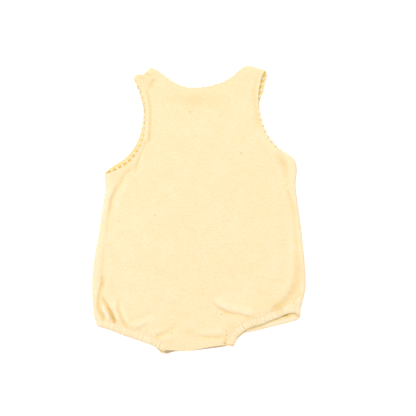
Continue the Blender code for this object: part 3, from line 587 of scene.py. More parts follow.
def soft_limits(height, low, high):
    """The height eased into its limits, so that no ledge shows where it meets them."""
    height = low + LIMIT_EASE * np.logaddexp(0.0, (height - low) / LIMIT_EASE)
    return high - LIMIT_EASE * np.logaddexp(0.0, (high - height) / LIMIT_EASE)


def loose_top(places):
    """Top of the back panel before it curves down into its seams."""
    lowest = back_support(places) + CLOTH
    seam = distance_to(places, *SEAMS)
    leg = distance_to(places, *BORDERS)
    top = BODY_TOP + (SEAM_TOP - BODY_TOP) * fading(seam, *SEAM_SLOPE)
    top = np.maximum(top, LEG_TOP - (LEG_TOP - BODY_TOP) * smoothstep(leg, *LEG_SLOPE))
    away = smoothstep(leg, 0.0, FOLD_EDGE)
    folded = top + fold_rise(places) * away + unevenness(places) * away
    folded += (np.maximum(folded, SEAM_TOP) - folded) * fading(seam, ROLL, 2 * ROLL)
    return soft_limits(folded, lowest, HIGHEST)


def into_seam(places, level, edge, wall):
    """A face's height: its level inside, curving to the edge's height at the seams."""
    seam = distance_to(places, *SEAMS)
    return edge + (level - edge) * roll((seam - wall) / (ROLL - wall))


def back_height(places, wall):
    """Height of the back's outer face, or of its inner one with the cloth's wall."""
    return into_seam(places, loose_top(places) - wall, SEAM_HEIGHT + SEAM_GAP / 2, wall)


def front_height(places, wall):
    """Height of the front's outer face, or of its inner one with the cloth's wall."""
    return into_seam(places, wall, SEAM_HEIGHT - SEAM_GAP / 2, wall)


def plain(places):
    return np.zeros(len(places))


def inside_shade(places):
    """Shade on the front's inner face: least in the open, most right under the back's edge."""
    shade = np.full(len(places), INSIDE_SHADE)
    for edge, shares in UNDER_EDGE.items():
        distance, share, _ = nearest(places, BACK[edge])
        shade += by_share(share, shares) * (
            UNDER_EDGE_SHADE * fading(distance, *UNDER_EDGE_SLOPE)
            + BESIDE_EDGE_SHADE * fading(distance, *BESIDE_EDGE_SLOPE))
    return shade


def fold_shade(places):
    """Painted shade down in the folds, more in narrow ones, and where the light is weak.
    Ridges get a painted highlight, and the rounded sides a painted sheen of their fuzz."""
    # The rounded sides get a painted sheen.
    shade = -SIDE_SHEEN * fading(distance_to(places, *SIDES), *SIDE_SHEEN_SLOPE)
    for fold in FOLDS:
        near, size = fold_profile(places, fold)
        narrow = (SHADE_WIDTH / fold.width) ** SHADE_NARROWS
        # Troughs get painted shade, ridges a painted highlight.
        depth = FOLD_SHADE * narrow * fold.shade if fold.rise < 0.0 else CREST_HIGHLIGHT
        shade[near] -= depth * fold.rise * size
    for patch in SHADES:
        shade += patch_rise(places, patch)
    return shade


# ------------------------------------------------------------------ panels
SAME_PLACE = 0.1          # two points closer than this are one
# Depths inside the outline of a panel's rings; a round edge needs the first ones.
RING_DEPTHS = (0.0, 0.06, 0.2, 0.42, 0.7, 1.05, 1.5, 2.1, 2.7, 3.3, 4.3, 5.4)
SPREAD, SPREAD_GROWS = 0.6, 1.85    # over which the way in is softened, and more by depth
RING_CLEAR = 0.55         # share of its spacing by which a lattice stays inside the last ring
INSIDE_ONLY, CDT_EPSILON = 1, 1e-6  # how the triangles are made: none outside the ring
# One stretch of an outline: the edge, the way along it, and whether it is sewn to the other
# panel ("seam"), sewn to a leg band ("band") or open ("hem").
OUTLINE = (
    ("border_left", True, "band"), ("end_left", True, "band"), ("crotch", True, "hem"),
    ("border_right", True, "band"), ("side_right", True, "seam"),
    ("armhole_right", True, "hem"), ("shoulder_right", False, "seam"), ("neck", False, "hem"),
    ("shoulder_left", False, "seam"), ("armhole_left", False, "hem"),
    ("side_left", False, "seam"))


def outline_of(edges, step):
    """A panel's outline once round, anticlockwise, and two rows of shares: seam and hem."""
    points, kinds = [], []
    for edge, forward, kind in OUTLINE:
        line = edges[edge][:, :2]
        shares = np.linspace(0.0, 1.0, round(length_of(line) / step) + 1)
        if edge.startswith("side"):
            start = SEAM_REACH / length_of(line)
            shares = start + shares * (1.0 - start)
        stops = read_line(line, shares)
        for stop in stops if forward else stops[::-1]:
            if points and np.linalg.norm(stop - points[-1]) < SAME_PLACE:
                kinds[-1] += kind
            else:
                points.append(stop)
                kinds.append(kind)
    kinds[0] += kinds.pop()
    points.pop()
    seam = np.array([float("seam" in kind) for kind in kinds])
    hem = np.array([float(kind == "hem") for kind in kinds])
    return np.array(points), seam, hem


def inward(outline, depth):
    """Unit steps into the outline, softened over a depth so that none cross at its corners."""
    run = np.roll(outline, -1, axis=0) - outline
    length = np.linalg.norm(run, axis=1)
    normals = np.column_stack((-run[:, 1], run[:, 0])) / length[:, None]
    place = np.concatenate(([0.0], np.cumsum(length)[:-1]))
    whole = length.sum()
    spread = SPREAD_GROWS * depth + SPREAD
    middle = place + length / 2
    away = (middle[None, :] - place[:, None] + whole / 2) % whole - whole / 2
    share = np.exp(-(away / spread) ** 2) * length
    return share @ normals / share.sum(axis=1)[:, None]


def inside_of(places, ring):
    """Whether each place lies inside a ring, by the ring's crossings of a line to its right."""
    crossed = np.zeros(len(places), int)
    for start, end in zip(ring, np.roll(ring, -1, axis=0)):
        if start[1] == end[1]:
            continue
        spans = (start[1] > places[:, 1]) != (end[1] > places[:, 1])
        slope = (end[0] - start[0]) / (end[1] - start[1])
        crossed += spans & (start[0] + (places[:, 1] - start[1]) * slope > places[:, 0])
    return crossed % 2 == 1


def inner_points(ring, spacing):
    """A lattice of points inside a ring, in rows of triangles."""
    low, high = ring.min(axis=0), ring.max(axis=0)
    places = []
    for index, y in enumerate(np.arange(low[1], high[1], spacing * math.sqrt(3) / 2)):
        x = np.arange(low[0] + (index % 2) * spacing / 2, high[0], spacing)
        places.append(np.column_stack((x, np.full(len(x), y))))
    places = np.vstack(places)
    places = places[inside_of(places, ring)]
    clear = distance_to(places, np.vstack((ring, ring[:1])))
    return places[clear > RING_CLEAR * spacing]


def filled(ring, inner):
    """Triangles over a ring and the places inside it, as indices into both, ring first."""
    places = [Vector(place) for place in np.vstack((ring, inner))]
    made = delaunay_2d_cdt(places, [], [list(range(len(ring)))], INSIDE_ONLY, CDT_EPSILON)
    faces, origins = made[2], made[3]
    return [tuple(origins[corner][0] for corner in face) for face in faces]


def ringed_faces(first, rings, around):
    """Faces between rings of "around" points each, which lie one after another."""
    faces = []
    for ring in range(rings - 1):
        near, far = first + ring * around, first + (ring + 1) * around
        for k in range(around):
            after = (k + 1) % around
            faces.append((near + k, near + after, far + after, far + k))
    return faces


def panel(name, edges, height, shades, step, spacing):
    """A cloth panel. "height" gives its faces' heights, and "shades" the shade of each."""
    outline, sewn, hem = outline_of(edges, step)
    count = len(outline)
    steps = [inward(outline, depth) for depth in RING_DEPTHS]
    last = outline + steps[-1] * RING_DEPTHS[-1]
    places = inner_points(last, spacing)
    fill = filled(last, places)
    edge_round = np.concatenate(
        [CLOTH / 2 * (1.0 - roll(depth / (CLOTH / 2))) * hem for depth in RING_DEPTHS]
        + [np.zeros(len(places))])
    levels, shaded = [], []
    for wall, shade in zip((0.0, CLOTH), shades):
        rings = []
        for depth, step_in in zip(RING_DEPTHS, steps):
            thinner = wall * max(0.0, 1.0 - depth / ROLL)
            rings.append(outline + step_in * (depth + thinner * sewn)[:, None])
        flat = np.vstack(rings + [places])
        levels.append(np.column_stack((flat, height(flat, wall))))
        shaded.append(shade(flat))
    if levels[0][:, 2].mean() < levels[1][:, 2].mean():
        levels.reverse()
        shaded.reverse()
    levels[0][:, 2] -= edge_round
    levels[1][:, 2] += edge_round
    below = len(levels[0])
    last_ring = (len(RING_DEPTHS) - 1) * count
    top = ringed_faces(0, len(RING_DEPTHS), count)
    top += [tuple(last_ring + corner for corner in face) for face in fill]
    faces = top + [tuple(below + corner for corner in face[::-1]) for face in top]
    for k in range(count):
        after = (k + 1) % count
        faces.append((k, below + k, below + after, after))
    points = np.vstack(levels)
    marks = {}
    if edges is BACK:
        marks = {"puckers": pucker_marks(points), "hollows": hollow_marks(points)}
    return cloth_object(name, points, faces, points, np.concatenate(shaded), marks)


# ------------------------------------------------------------------ leg bands
STATION = 0.55            # between a band's sections
TURN_STEPS = 14
CORNER_ROWS = 9           # a band's way at its corner is taken over so many rows
BAND_LAP = {"left": 1.7, "right": 0.9}        # how far a band's ends reach past the crotch hem
# A band's section: "across" from the leg's edge to the panel, "out" from the inside to the
# outside, and the share of the gathers that the point takes.
BAND_SECTION = (
    (0, 0.48, 0.6), (0.02, 0.26, 0.3), (0.08, 0.1, 0.1), (0.2, 0.02, 0), (0.5, 0, 0),
    (0.85, 0.02, 0), (1, 0.1, 0), (1, 0.5, 0), (1, 0.912, 0), (0.975, 0.912, 0.1),
    (0.93, 0.9, 0.5), (0.88, 0.86, 0.7), (0.82, 0.91, 0.9), (0.7, 0.99, 1.1), (0.5, 1.03, 1.2),
    (0.3, 1.01, 1.2), (0.15, 0.92, 1.1), (0.05, 0.74, 0.9))
INNER_FACE = 0.3          # points less far "out" than this are on the band's inner face
GATHER_PITCH = 4.1        # from one gather of a band to the next
GATHER_RISE = 0.35        # half the height of a gather
GATHER_WANDERS = ((0.5, 7.1), (0.35, 3.3))    # the pitch drifts: how far, over what length
GATHER_BEATS = (5.3, 11.7)                    # their size comes and goes over these lengths
GATHER_FADE = 6.0         # the gathers end over this length at the outer corner
FULL_END, FULL_LENGTH = 0.8, 24.0   # the right band's crotch end has fuller gathers
TACKS = (2.2, 4.4)        # two rows of tacking stitches lie this far from a band's crotch end
TACK_DEPTH = 0.34
TACK_WIDTH = 0.45
# How strongly a band is finely gathered, by the share of its whole round.
BAND_GATHERS = {
    "left": ((0, 0.7), (0.06, 0.8), (0.2, 0.55), (0.4, 0.8), (0.5, 0.3), (1, 0.6)),
    "right": ((0, 0.9), (0.08, 0.95), (0.25, 0.75), (0.42, 0.55), (0.5, 0.2), (1, 0.3))}
BAND_SHADE = 2.3          # on the front's run, right under the back's
BAND_SHADE_SLOPE = (0.7, 2.5)
# Further shade on a band: x, y, reach, amount, and whether it lies down in the gap.
BAND_SHADES = {"left": (),
               "right": ((100, -125.8, 5, 0.6, False), (108.6, -130, 3.4, 5.5, True))}


def band_path(hand, corner_first):
    """A band's middle run: rows of edge x, y, border x, y, turn, gather, from crotch to crotch."""
    rows = []
    for edges, upper in ((BACK, True), (FRONT, False)):
        edge, border = edges["leg_" + hand][:, :2], edges["border_" + hand][:, :2]
        along = lengths_along(border)
        stop = along[-1] - BAND_TURN
        reached = np.append(np.arange(0.0, stop, STATION), stop)
        place = along[-1] - reached if corner_first else reached
        outer, inner = columns_at(place, along, edge), columns_at(place, along, border)
        width = np.linalg.norm(inner - outer, axis=1)[:, None]
        inner = inner + (outer - inner) * SEAM_GAP / width
        phase = reached / GATHER_PITCH
        for drift, length in GATHER_WANDERS:
            phase = phase + drift * np.sin(reached / length)
        beat = np.sin(reached / GATHER_BEATS[0] + 1.0) * np.sin(reached / GATHER_BEATS[1])
        size = 0.5 + 0.5 * beat
        size = size + FULL_END * np.exp(-(reached / FULL_LENGTH) ** 2) * (not corner_first)
        fade = smoothstep(stop - reached, 0.0, GATHER_FADE)
        gather = GATHER_RISE * size * fade * np.cos(2 * math.pi * phase)
        for tack in TACKS:
            gather = gather - TACK_DEPTH * np.exp(-((reached - tack) / TACK_WIDTH) ** 2)
        turn = np.full(len(reached), 0.0 if upper else math.pi)
        run = np.column_stack((outer, inner, turn, gather))
        rows.append(run if upper else run[::-1])
    above, below = rows
    turns = []
    for turn in math.pi * np.arange(1, TURN_STEPS) / TURN_STEPS:
        middle = above[-1, :4] + (below[0, :4] - above[-1, :4]) * (1 - math.cos(turn)) / 2
        turns.append((*middle, turn, 0.0))
    return above, np.array(turns), below


def leg_band(hand, corner_first):
    """The elastic band round one leg opening, from the crotch out and back."""
    above, turns, below = band_path(hand, corner_first)
    way = above[-1, :2] - above[-CORNER_ROWS, :2]
    way /= np.linalg.norm(way)
    path = np.vstack((above, turns, below))
    for end, inner in ((0, 1), (-1, -2)):
        step = path[end, :4] - path[inner, :4]
        path[end, :4] += step * BAND_LAP[hand] / np.hypot(*step[:2])
    rings, weave, inside = [], [], []
    half = len(above) + len(turns) // 2
    run = lengths_along((path[:, :2] + path[:, 2:4]) / 2)
    for index, (row, along) in enumerate(zip(path, run)):
        edge, border, turn, gather = row[:2], row[2:4], row[4], row[5]
        for across, out, share in BAND_SECTION:
            radius = GAP / 2 + BAND_THICK * out + gather * share
            flat = edge + (border - edge) * across + way * radius * math.sin(turn)
            rings.append((*flat, BAND_TURN + radius * math.cos(turn)))
            weave.append((along, BAND_WIDTH * across, 0.0))
            inside.append(float(index > half and out < INNER_FACE))
    rings, weave, inside = np.array(rings), np.array(weave), np.array(inside)
    edge = distance_to(rings, BACK["leg_" + hand])
    shade = inside * BAND_SHADE * fading(edge, *BAND_SHADE_SLOPE)
    for x, y, reach, amount, in_gap in BAND_SHADES[hand]:
        near = np.exp(-((rings[:, 0] - x) ** 2 + (rings[:, 1] - y) ** 2) / reach ** 2)
        shade += amount * near * (inside if in_gap else 1.0 - inside)
    gathered = np.tile([share > 0.0 for _, _, share in BAND_SECTION], len(path))
    marks = np.zeros((len(rings), 3))
    marks[:, 0] = weave[:, 0]
    marks[:, 1] = gathered * by_share(marks[:, 0] / marks[-1, 0], BAND_GATHERS[hand])
    faces = tube_faces(len(path), len(BAND_SECTION), corner_first)
    return cloth_object("leg_casing_" + hand, rings, faces, weave, shade, {"puckers": marks})


def tube_faces(rings, around, turned):
    """Faces of a tube of rings that have "around" points each, with both ends closed."""
    faces = [tuple(reversed(range(around)))]
    faces += ringed_faces(0, rings, around)
    faces.append(tuple(range((rings - 1) * around, rings * around)))
    return [face[::-1] for face in faces] if turned else faces


# ------------------------------------------------------------------ picot tapes
PICOT_RADIUS = 1.16       # of the loop's middle line
PICOT_THREAD = 0.62       # radius of the bundle of threads in the loop
PICOT_FLAT = 0.72         # a loop is flatter than it is wide
PICOT_OVAL = 0.08         # share by which a loop is out of round
PICOT_UNEVEN = 0.25       # how far a loop's reach goes up and down
THREAD_TWIST = 1.5        # turns of the thread's section along a loop
THREAD_UNEVEN = 0.13
LOOP_STEPS = 20
LOOP_SIDES = 8
LOOP_SEED, REACH_SEED = 1.9, 2.7     # one picot differs from the next by these
LOOP_RISE = 0.6           # a loop lies so far up its tape's thickness
TAPE_STEPS = 4            # steps along a tape from one picot to the next
TAPE_EDGE = -0.35         # the tape's own edge past the cloth's edge
# One run of tape: what it seats on, how far in it is turned and how much of its reach a picot
# shows, both by the share of the edge's length. At the armholes the front's tapes lie turned
# under in the hems, and come out towards the shoulders, where the front lies open.
Run = namedtuple("Run", "seat turned_in shows")
FLUSH = ((0, 0), (1, 0))
RUNS = {
    "armhole_left_back": Run(None, FLUSH, ((0, 1.2), (0.6, 1.15), (0.8, 0.8), (1, 0.6))),
    "armhole_left_front": Run(0.08, ((0, 8.5), (0.5, 8.5), (0.6, 0), (1, 0)),
                              ((0, 1), (0.5, 1), (0.6, 0.5), (1, 0.45))),
    "armhole_right_back": Run(None, FLUSH, ((0, 0.5), (0.08, 0.9), (0.62, 0.9), (0.8, 1.3),
                                            (1, 1.2))),
    "armhole_right_front": Run(0.08, ((0, 8.5), (0.6, 8.5), (0.72, 0), (1, 0)),
                               ((0, 1), (0.6, 1), (0.72, 0.5), (1, 0.45))),
    "neck_back": Run(None, FLUSH, ((0, 0.6), (0.1, 0.8), (0.25, 0.75), (0.36, 0.5), (1, 0.5))),
    "neck_front": Run(CLOTH, FLUSH, ((0, 1), (1, 1))),
}


def loop_points(centre, out, height, seed):
    """One picot: a round loop of thread that stands past the hem, slightly uneven."""
    side = np.array((-out[1], out[0]))
    points = []
    for step in range(LOOP_STEPS):
        turn = 2 * math.pi * step / LOOP_STEPS
        radial = out * math.cos(turn) + side * math.sin(turn)
        middle = centre + radial * PICOT_RADIUS * (1.0 + PICOT_OVAL * math.sin(2 * turn + seed))
        for k in range(LOOP_SIDES):
            around = 2 * math.pi * k / LOOP_SIDES + THREAD_TWIST * turn
            uneven = THREAD_UNEVEN * math.cos(3 * (around - 3 * turn) + seed)
            thread = PICOT_THREAD * (1.0 + uneven)
            flat = middle + radial * thread * math.cos(around - THREAD_TWIST * turn)
            rise = thread * PICOT_FLAT * math.sin(around - THREAD_TWIST * turn)
            points.append((*flat, height + rise))
    return points


def loop_faces(first):
    faces = []
    for step in range(LOOP_STEPS):
        for k in range(LOOP_SIDES):
            near, far = first + step * LOOP_SIDES, first + (step + 1) % LOOP_STEPS * LOOP_SIDES
            after = (k + 1) % LOOP_SIDES
            faces.append((near + k, far + k, far + after, near + after))
    return faces


def picot_tape(name, line, edge_name, run):
    """A woven tape inside a hem, with a row of thread loops past the cloth's edge."""
    length = length_of(line)
    free, picots = picot_run(line)
    shares = (TAPE_END + np.linspace(0.0, free, TAPE_STEPS * picots + 1)) / length
    edge = read_line(line[:, :2], shares)
    out = OUTSIDE[edge_name] * read_line(left_of(line), shares)
    out /= np.linalg.norm(out, axis=1)[:, None]
    turned_in = by_share(shares, run.turned_in)
    inner = edge - out * (TAPE_TUCK + turned_in)[:, None]
    outer = edge + out * (TAPE_EDGE - turned_in)[:, None]
    low_inner, low_edge = (
        (tape_seat(places, edge_name) if run.seat is None else np.full(len(places), run.seat))
        + GAP / 2 for places in (inner, edge))
    points, weave = [], []
    for k in range(len(shares)):
        low_in, low_out = low_inner[k], low_edge[k]
        for flat, height in ((inner[k], low_in), (outer[k], low_out),
                             (outer[k], low_out + TAPE), (inner[k], low_in + TAPE)):
            points.append((*flat, height))
            weave.append((shares[k] * length, TAPE_TUCK * (height == low_in), 0.0))
    faces = tube_faces(len(shares), 4, OUTSIDE[edge_name] < 0)
    for picot in range(picots):
        k = TAPE_STEPS * picot + TAPE_STEPS // 2
        reach = (by_share(shares[k], run.shows) * PICOT_REACH - PICOT_RADIUS - PICOT_THREAD
                 + PICOT_UNEVEN * math.sin(REACH_SEED * picot))
        centre = edge[k] + out[k] * (reach - turned_in[k])
        first = len(points)
        points += loop_points(centre, out[k], low_edge[k] + TAPE * LOOP_RISE, LOOP_SEED * picot)
        weave += [(x, y, 0.0) for x, y, _ in points[first:]]
        faces += loop_faces(first)
    return cloth_object(name, np.array(points), faces, np.array(weave))


# ------------------------------------------------------------------ materials
BOUNCE = (0.917, 0.87, 0.72)       # the red, green and blue that one bounce keeps
NEPS = ((-11.1, 122.4), (-101.1, -13.8), (-54.8, -6.3), (-33.6, -153.8), (28.3, -130.7),
        (52.7, 71.2), (34.6, -156.3))
NEP_REACH = 0.85
NEP_DARKENS, NEP_DARKEST = 1.5, 0.85     # share of its brown, by the nearness to its middle
NEP_BROWN = (0.30, 0.17, 0.08, 1.0)
# Painted shadow under the back's crotch hem: grey spots on the front's edge, their reach, share
# and colour.
UNDER_HEM_SHADOWS = ((-40.5, -178.0), (-36.0, -177.8), (-31.5, -177.0), (6.0, -174.2), (13.0, -173.2),
          (20.0, -172.2), (27.0, -171.3), (34.0, -170.9), (41.0, -170.6))
UNDER_HEM_SHADOW_REACH = 5.5
UNDER_HEM_SHADOW_SHARE = 0.52
UNDER_HEM_SHADOW_GREY = (0.40, 0.26, 0.25, 1.0)
HOLLOW_RADIUS = 1.4
HOLLOW_SHADE = 5.0        # painted shade in the middle of a hollow
ABOVE_ZERO = 100 * PICOT_PITCH       # keeps a place along the picots above zero
PUCKER_SHADE = 0.65       # down in a pucker
PUCKER_LIGHT = 0.4        # wave height at which it is as light as level cloth
# The puckers' pitch wavers at two rates, the first one by more, and their strength at a third.
WAVER, WAVER_SIZE, QUIVER = 0.31, 1.3, 0.83
BEAT, BEAT_SIZE, BEAT_MIDDLE = 0.47, 0.3, 0.75
# Painted glow: emission where the painted shade is deepest, for light through the thin cloth.
GLOW_SHADES = (0.3, 2.2)  # painted shades between which the painted glow grows
GLOW_COLOUR = (0.95, 0.72, 0.02, 1.0)
THREAD_GLOW = 0.06        # painted glow: light that passes on from loop to loop
# Noises by their scale, its stretch in each direction, and detail.
WANDER = (0.35, (1, 1, 1), 2.0)          # how the wales and courses wander
WANDER_SIZE = 0.9
STREAKS = (1.0, (0.22, 1.15, 0.6), 3.0)  # of thicker yarn along the courses
SPECKS = (1.0, (0.42, 1.0, 0.6), 2.0)
FUZZ = (2.2, (1, 1, 1), 3.0)
PATCHES = (0.06, (1, 1, 1), 3.0)
FIBRES = (3.5, (1, 1, 1), 3.0)
# Heights in a knit's relief, and weights in its colour.
ROW_HEIGHT, LEG_HEIGHT, STREAK_HEIGHT, FUZZ_HEIGHT, PUCKER_HEIGHT = 0.30, 0.45, 1.5, 0.6, 2.2
STREAK_WEIGHT, SPECK_WEIGHT, PATCH_WEIGHT, WEIGHTS_MIDDLE = 1.5, 1.9, 0.7, 1.55
LEG_SLANT = 0.45
LIGHT_YARN = (1.0, 1.06, 1.16)           # colours of the yarn at its lightest and darkest,
DARK_YARN = (0.98, 0.94, 0.84)           # as shares of the cloth's
DARK_THREAD = (0.93, 0.90, 0.86)
RIBS = (9.0, 6.0)         # the thread's ribs, by its length and across
RIB_HEIGHT = 0.5


def fill(made, sockets):
    """Sets a node's sockets to numbers or colours, or joins them to other nodes' outputs."""
    for key, value in sockets.items():
        if isinstance(value, bpy.types.NodeSocket):
            made.id_data.links.new(value, made.inputs[key])
        else:
            made.inputs[key].default_value = value


def node(tree, kind, sockets, **settings):
    made = tree.nodes.new("ShaderNode" + kind)
    for name, setting in settings.items():
        setattr(made, name, setting)
    fill(made, sockets)
    return made


def tree_of(*values):
    return next(value.id_data for value in values if isinstance(value, bpy.types.NodeSocket))


def calc(operation, *terms):
    """What a Math node makes of its terms, each a number or another node's output."""
    return node(tree_of(*terms), "Math", dict(enumerate(terms)), operation=operation).outputs[0]


def add(*terms):
    return reduce(lambda first, second: calc("ADD", first, second), terms)


def times(*terms):
    return reduce(lambda first, second: calc("MULTIPLY", first, second), terms)


def noise(place, scale, stretch, detail):
    """Noise over a place in millimetres, with its own scale in each direction."""
    mapping = node(place.id_data, "Mapping", {"Vector": place, "Scale": stretch})
    return node(place.id_data, "TexNoise", {"Vector": mapping.outputs[0], "Scale": scale,
                                            "Detail": detail}).outputs["Fac"]


def mixed(share, first, second, blend="MIX"):
    """A mix of two colours; each is a tuple or another node's output."""
    return node(tree_of(share, first, second), "Mix", {0: share, 6: first, 7: second},
                data_type="RGBA", blend_type=blend).outputs[2]


def tinted(colour, shares):
    return (*(part * share for part, share in zip(colour, shares)), 1.0)


def part_of(vector):
    """The three numbers of a vector."""
    return node(vector.id_data, "SeparateXYZ", {0: vector}).outputs


def carried(tree, name, output="Vector"):
    """What the mesh carries at its points by this name."""
    return node(tree, "Attribute", {}, attribute_name=name).outputs[output]


def falling(away, reach):
    """One where nothing is away, falling evenly to nothing at the reach."""
    return calc("MAXIMUM", calc("SUBTRACT", 1.0, calc("DIVIDE", away, reach)), 0.0)


def pucker_waves(tree):
    """The leg bands' fine gathers: a wave across them, and how strong it is."""
    along, strength, _ = part_of(carried(tree, "puckers"))
    waver = times(calc("SINE", times(along, WAVER)), WAVER_SIZE)
    quiver = calc("SINE", times(along, QUIVER))
    turn = add(times(along, 2 * math.pi / PUCKER_PITCH), add(waver, quiver))
    uneven = add(times(calc("SINE", times(along, BEAT)), BEAT_SIZE), BEAT_MIDDLE)
    return calc("SINE", turn), times(strength, uneven)


def hollow_shade_spots(tree):
    """Painted shade where picots are sewn on: 1 in the middle of a hollow, 0 beside it."""
    along, depth, strength = part_of(carried(tree, "hollows"))
    within = calc("MODULO", add(along, ABOVE_ZERO), PICOT_PITCH)
    across = calc("SUBTRACT", within, PICOT_PITCH / 2)
    further_in = calc("SUBTRACT", depth, HOLLOW_DEPTH)
    away = calc("SQRT", add(times(across, across), times(further_in, further_in)))
    return times(falling(away, HOLLOW_RADIUS), strength)


def spots(place, centres, reach):
    """One in the middle of each spot, and nothing past its reach."""
    tree = place.id_data
    level = node(tree, "VectorMath", {0: place, 1: (1.0, 1.0, 0.0)}, operation="MULTIPLY")
    total = 0.0
    for x, y in centres:
        apart = node(tree, "VectorMath", {0: level.outputs[0], 1: (x, y, 0.0)},
                     operation="DISTANCE")
        total = add(falling(apart.outputs["Value"], reach), total)
    return total


def new_material(name):
    """A material, its shader, and the place in the cloth, in millimetres."""
    material = bpy.data.materials.new(name)
    material.use_nodes = True
    tree = material.node_tree
    return material, tree.nodes["Principled BSDF"], carried(tree, "weave")


def relief_of(height, relief):
    """The normal of a surface with this height, which a relief in millimetres scales."""
    return node(height.id_data, "Bump", {"Height": height, "Distance": relief * MM}).outputs[0]


def knit_material(name, colour, wale, course, relief, glow=0.0, hem_shadowed=False):
    """Plain knit: two legs to a wale, slanting rows, uneven yarn, soft fuzz and small dark
    fibre knots, with painted shade. Glow is painted light: emission in the deepest painted
    shade, for the light that comes through the thin cloth."""
    material, shader, place = new_material(name)
    tree = shader.id_data
    x, y, _ = part_of(place)
    wander = times(noise(place, *WANDER), WANDER_SIZE)
    u = add(calc("DIVIDE", x, wale), wander)
    v = add(calc("DIVIDE", y, course), wander)
    leg = times(calc("PINGPONG", u, 0.5), 2.0)
    rows = calc("SINE", times(add(v, times(leg, LEG_SLANT)), 2 * math.pi))
    legs = calc("SINE", times(leg, math.pi))
    streaks = noise(place, *STREAKS)
    wave, strength = pucker_waves(tree)
    height = add(times(rows, ROW_HEIGHT), times(legs, LEG_HEIGHT), times(streaks, STREAK_HEIGHT),
                 times(noise(place, *FUZZ), FUZZ_HEIGHT), times(wave, strength, PUCKER_HEIGHT))
    level = add(times(streaks, STREAK_WEIGHT), times(noise(place, *SPECKS), SPECK_WEIGHT),
                times(noise(place, *PATCHES), PATCH_WEIGHT))
    level = node(tree, "Clamp", {0: calc("SUBTRACT", level, WEIGHTS_MIDDLE)}).outputs[0]
    yarn = mixed(level, tinted(colour, DARK_YARN), tinted(colour, LIGHT_YARN))
    # Painted shade from the mesh, the puckers and the hollows darkens the yarn by what each bounce
    # keeps.
    carried_shade = carried(tree, "shade", "Fac")
    shade = add(carried_shade, times(calc("SUBTRACT", PUCKER_LIGHT, wave), PUCKER_SHADE, strength),
                times(hollow_shade_spots(tree), HOLLOW_SHADE))
    bounced = node(tree, "CombineColor", {index: calc("POWER", kept, shade)
                                          for index, kept in enumerate(BOUNCE)})
    base = mixed(1.0, yarn, bounced.outputs[0], "MULTIPLY")
    knots = calc("MINIMUM", times(spots(place, NEPS, NEP_REACH), NEP_DARKENS), NEP_DARKEST)
    base = mixed(knots, base, NEP_BROWN)
    # Painted shadow on the front's edge where it lies under the back's crotch hem.
    if hem_shadowed:
        hem_shadow = calc("MINIMUM", spots(place, UNDER_HEM_SHADOWS, UNDER_HEM_SHADOW_REACH), 1.0)
        base = mixed(times(hem_shadow, UNDER_HEM_SHADOW_SHARE), base, UNDER_HEM_SHADOW_GREY)
    # Painted glow: emission that lights the deepest painted shade.
    if glow:
        deep = node(tree, "MapRange", dict(enumerate((carried_shade, *GLOW_SHADES, 0.0, glow))))
        fill(shader, {"Emission Strength": deep.outputs[0], "Emission Color": GLOW_COLOUR})
    fill(shader, {"Base Color": base, "Normal": relief_of(height, relief), "Roughness": 0.92,
                  "Specular IOR Level": 0.25, "Sheen Weight": 0.12, "Sheen Roughness": 0.6})
    return material


def thread_material(name, colour, relief):
    """Twisted thread or woven tape: fine slanting ribs with uneven fibres."""
    material, shader, place = new_material(name)
    x, y, _ = part_of(place)
    fibres = noise(place, *FIBRES)
    ribs = times(calc("SINE", add(times(x, RIBS[0]), times(y, RIBS[1]))), RIB_HEIGHT)
    # The thread's emission is a painted glow, for light that passes on from loop to loop.
    fill(shader, {"Base Color": mixed(fibres, tinted(colour, DARK_THREAD), colour),
                  "Normal": relief_of(add(ribs, fibres), relief), "Roughness": 0.85,
                  "Sheen Weight": 0.15, "Emission Color": colour,
                  "Emission Strength": THREAD_GLOW})
    return material


# ------------------------------------------------------------------ objects
SHARP = math.radians(60)


def linked(name, data):
    made = bpy.data.objects.new(name, data)
    bpy.context.scene.collection.objects.link(made)
    return made


def cloth_object(name, points, faces, weave, shade=None, marks=None):
    """A mesh object from points in millimetres. "weave" says where each lies in the cloth and
    "shade" how often light has bounced there; marks are further vectors by name."""
    mesh = bpy.data.meshes.new(name)
    placed = (points - np.array((0.0, MIDDLE_Y, 0.0))) * MM
    placed[:, 2] = np.maximum(placed[:, 2], 0.0)      # it rests flat on the floor
    mesh.from_pydata(placed.tolist(), [], faces)
    mesh.update()
    mesh.shade_smooth()
    mesh.set_sharp_from_angle(angle=SHARP)
    for mark, values in {"weave": weave, **(marks or {})}.items():
        kept = mesh.attributes.new(mark, "FLOAT_VECTOR", "POINT")
        kept.data.foreach_set("vector", np.asarray(values, np.float32).ravel())
    kept = mesh.attributes.new("shade", "FLOAT", "POINT")
    shade = plain(points) if shade is None else shade
    kept.data.foreach_set("value", np.asarray(shade, np.float32))
    return linked(name, mesh)


def dressed(piece, material, replaced):
    """Gives a piece its material and its place on the part, and hides the node that it stands for.
    """
    piece.data.materials.append(material)
    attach(piece, "root")
    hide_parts(replaced)
    return piece


# ------------------------------------------------------------------ the romper
YELLOW = (0.950, 0.750, 0.458, 1.0)
BAND_YELLOW = (0.955, 0.775, 0.515, 1.0)
WHITE = (0.970, 0.885, 0.725, 1.0)
# Strengths of the painted glow in the deepest painted shade of the front and of the bands.
GLOW, BAND_GLOW = 0.19, 0.03

# Wale, course and relief of a knit are in millimetres.
cloth = knit_material("knit_cloth", YELLOW, 1.25, 0.95, 0.16)
inner_cloth = knit_material("knit_inner_cloth", YELLOW, 1.25, 0.95, 0.16, GLOW, True)
band_cloth = knit_material("knit_band_cloth", BAND_YELLOW, 1.1, 0.95, 0.14, BAND_GLOW)
picot_thread = thread_material("picot_thread", WHITE, 0.12)

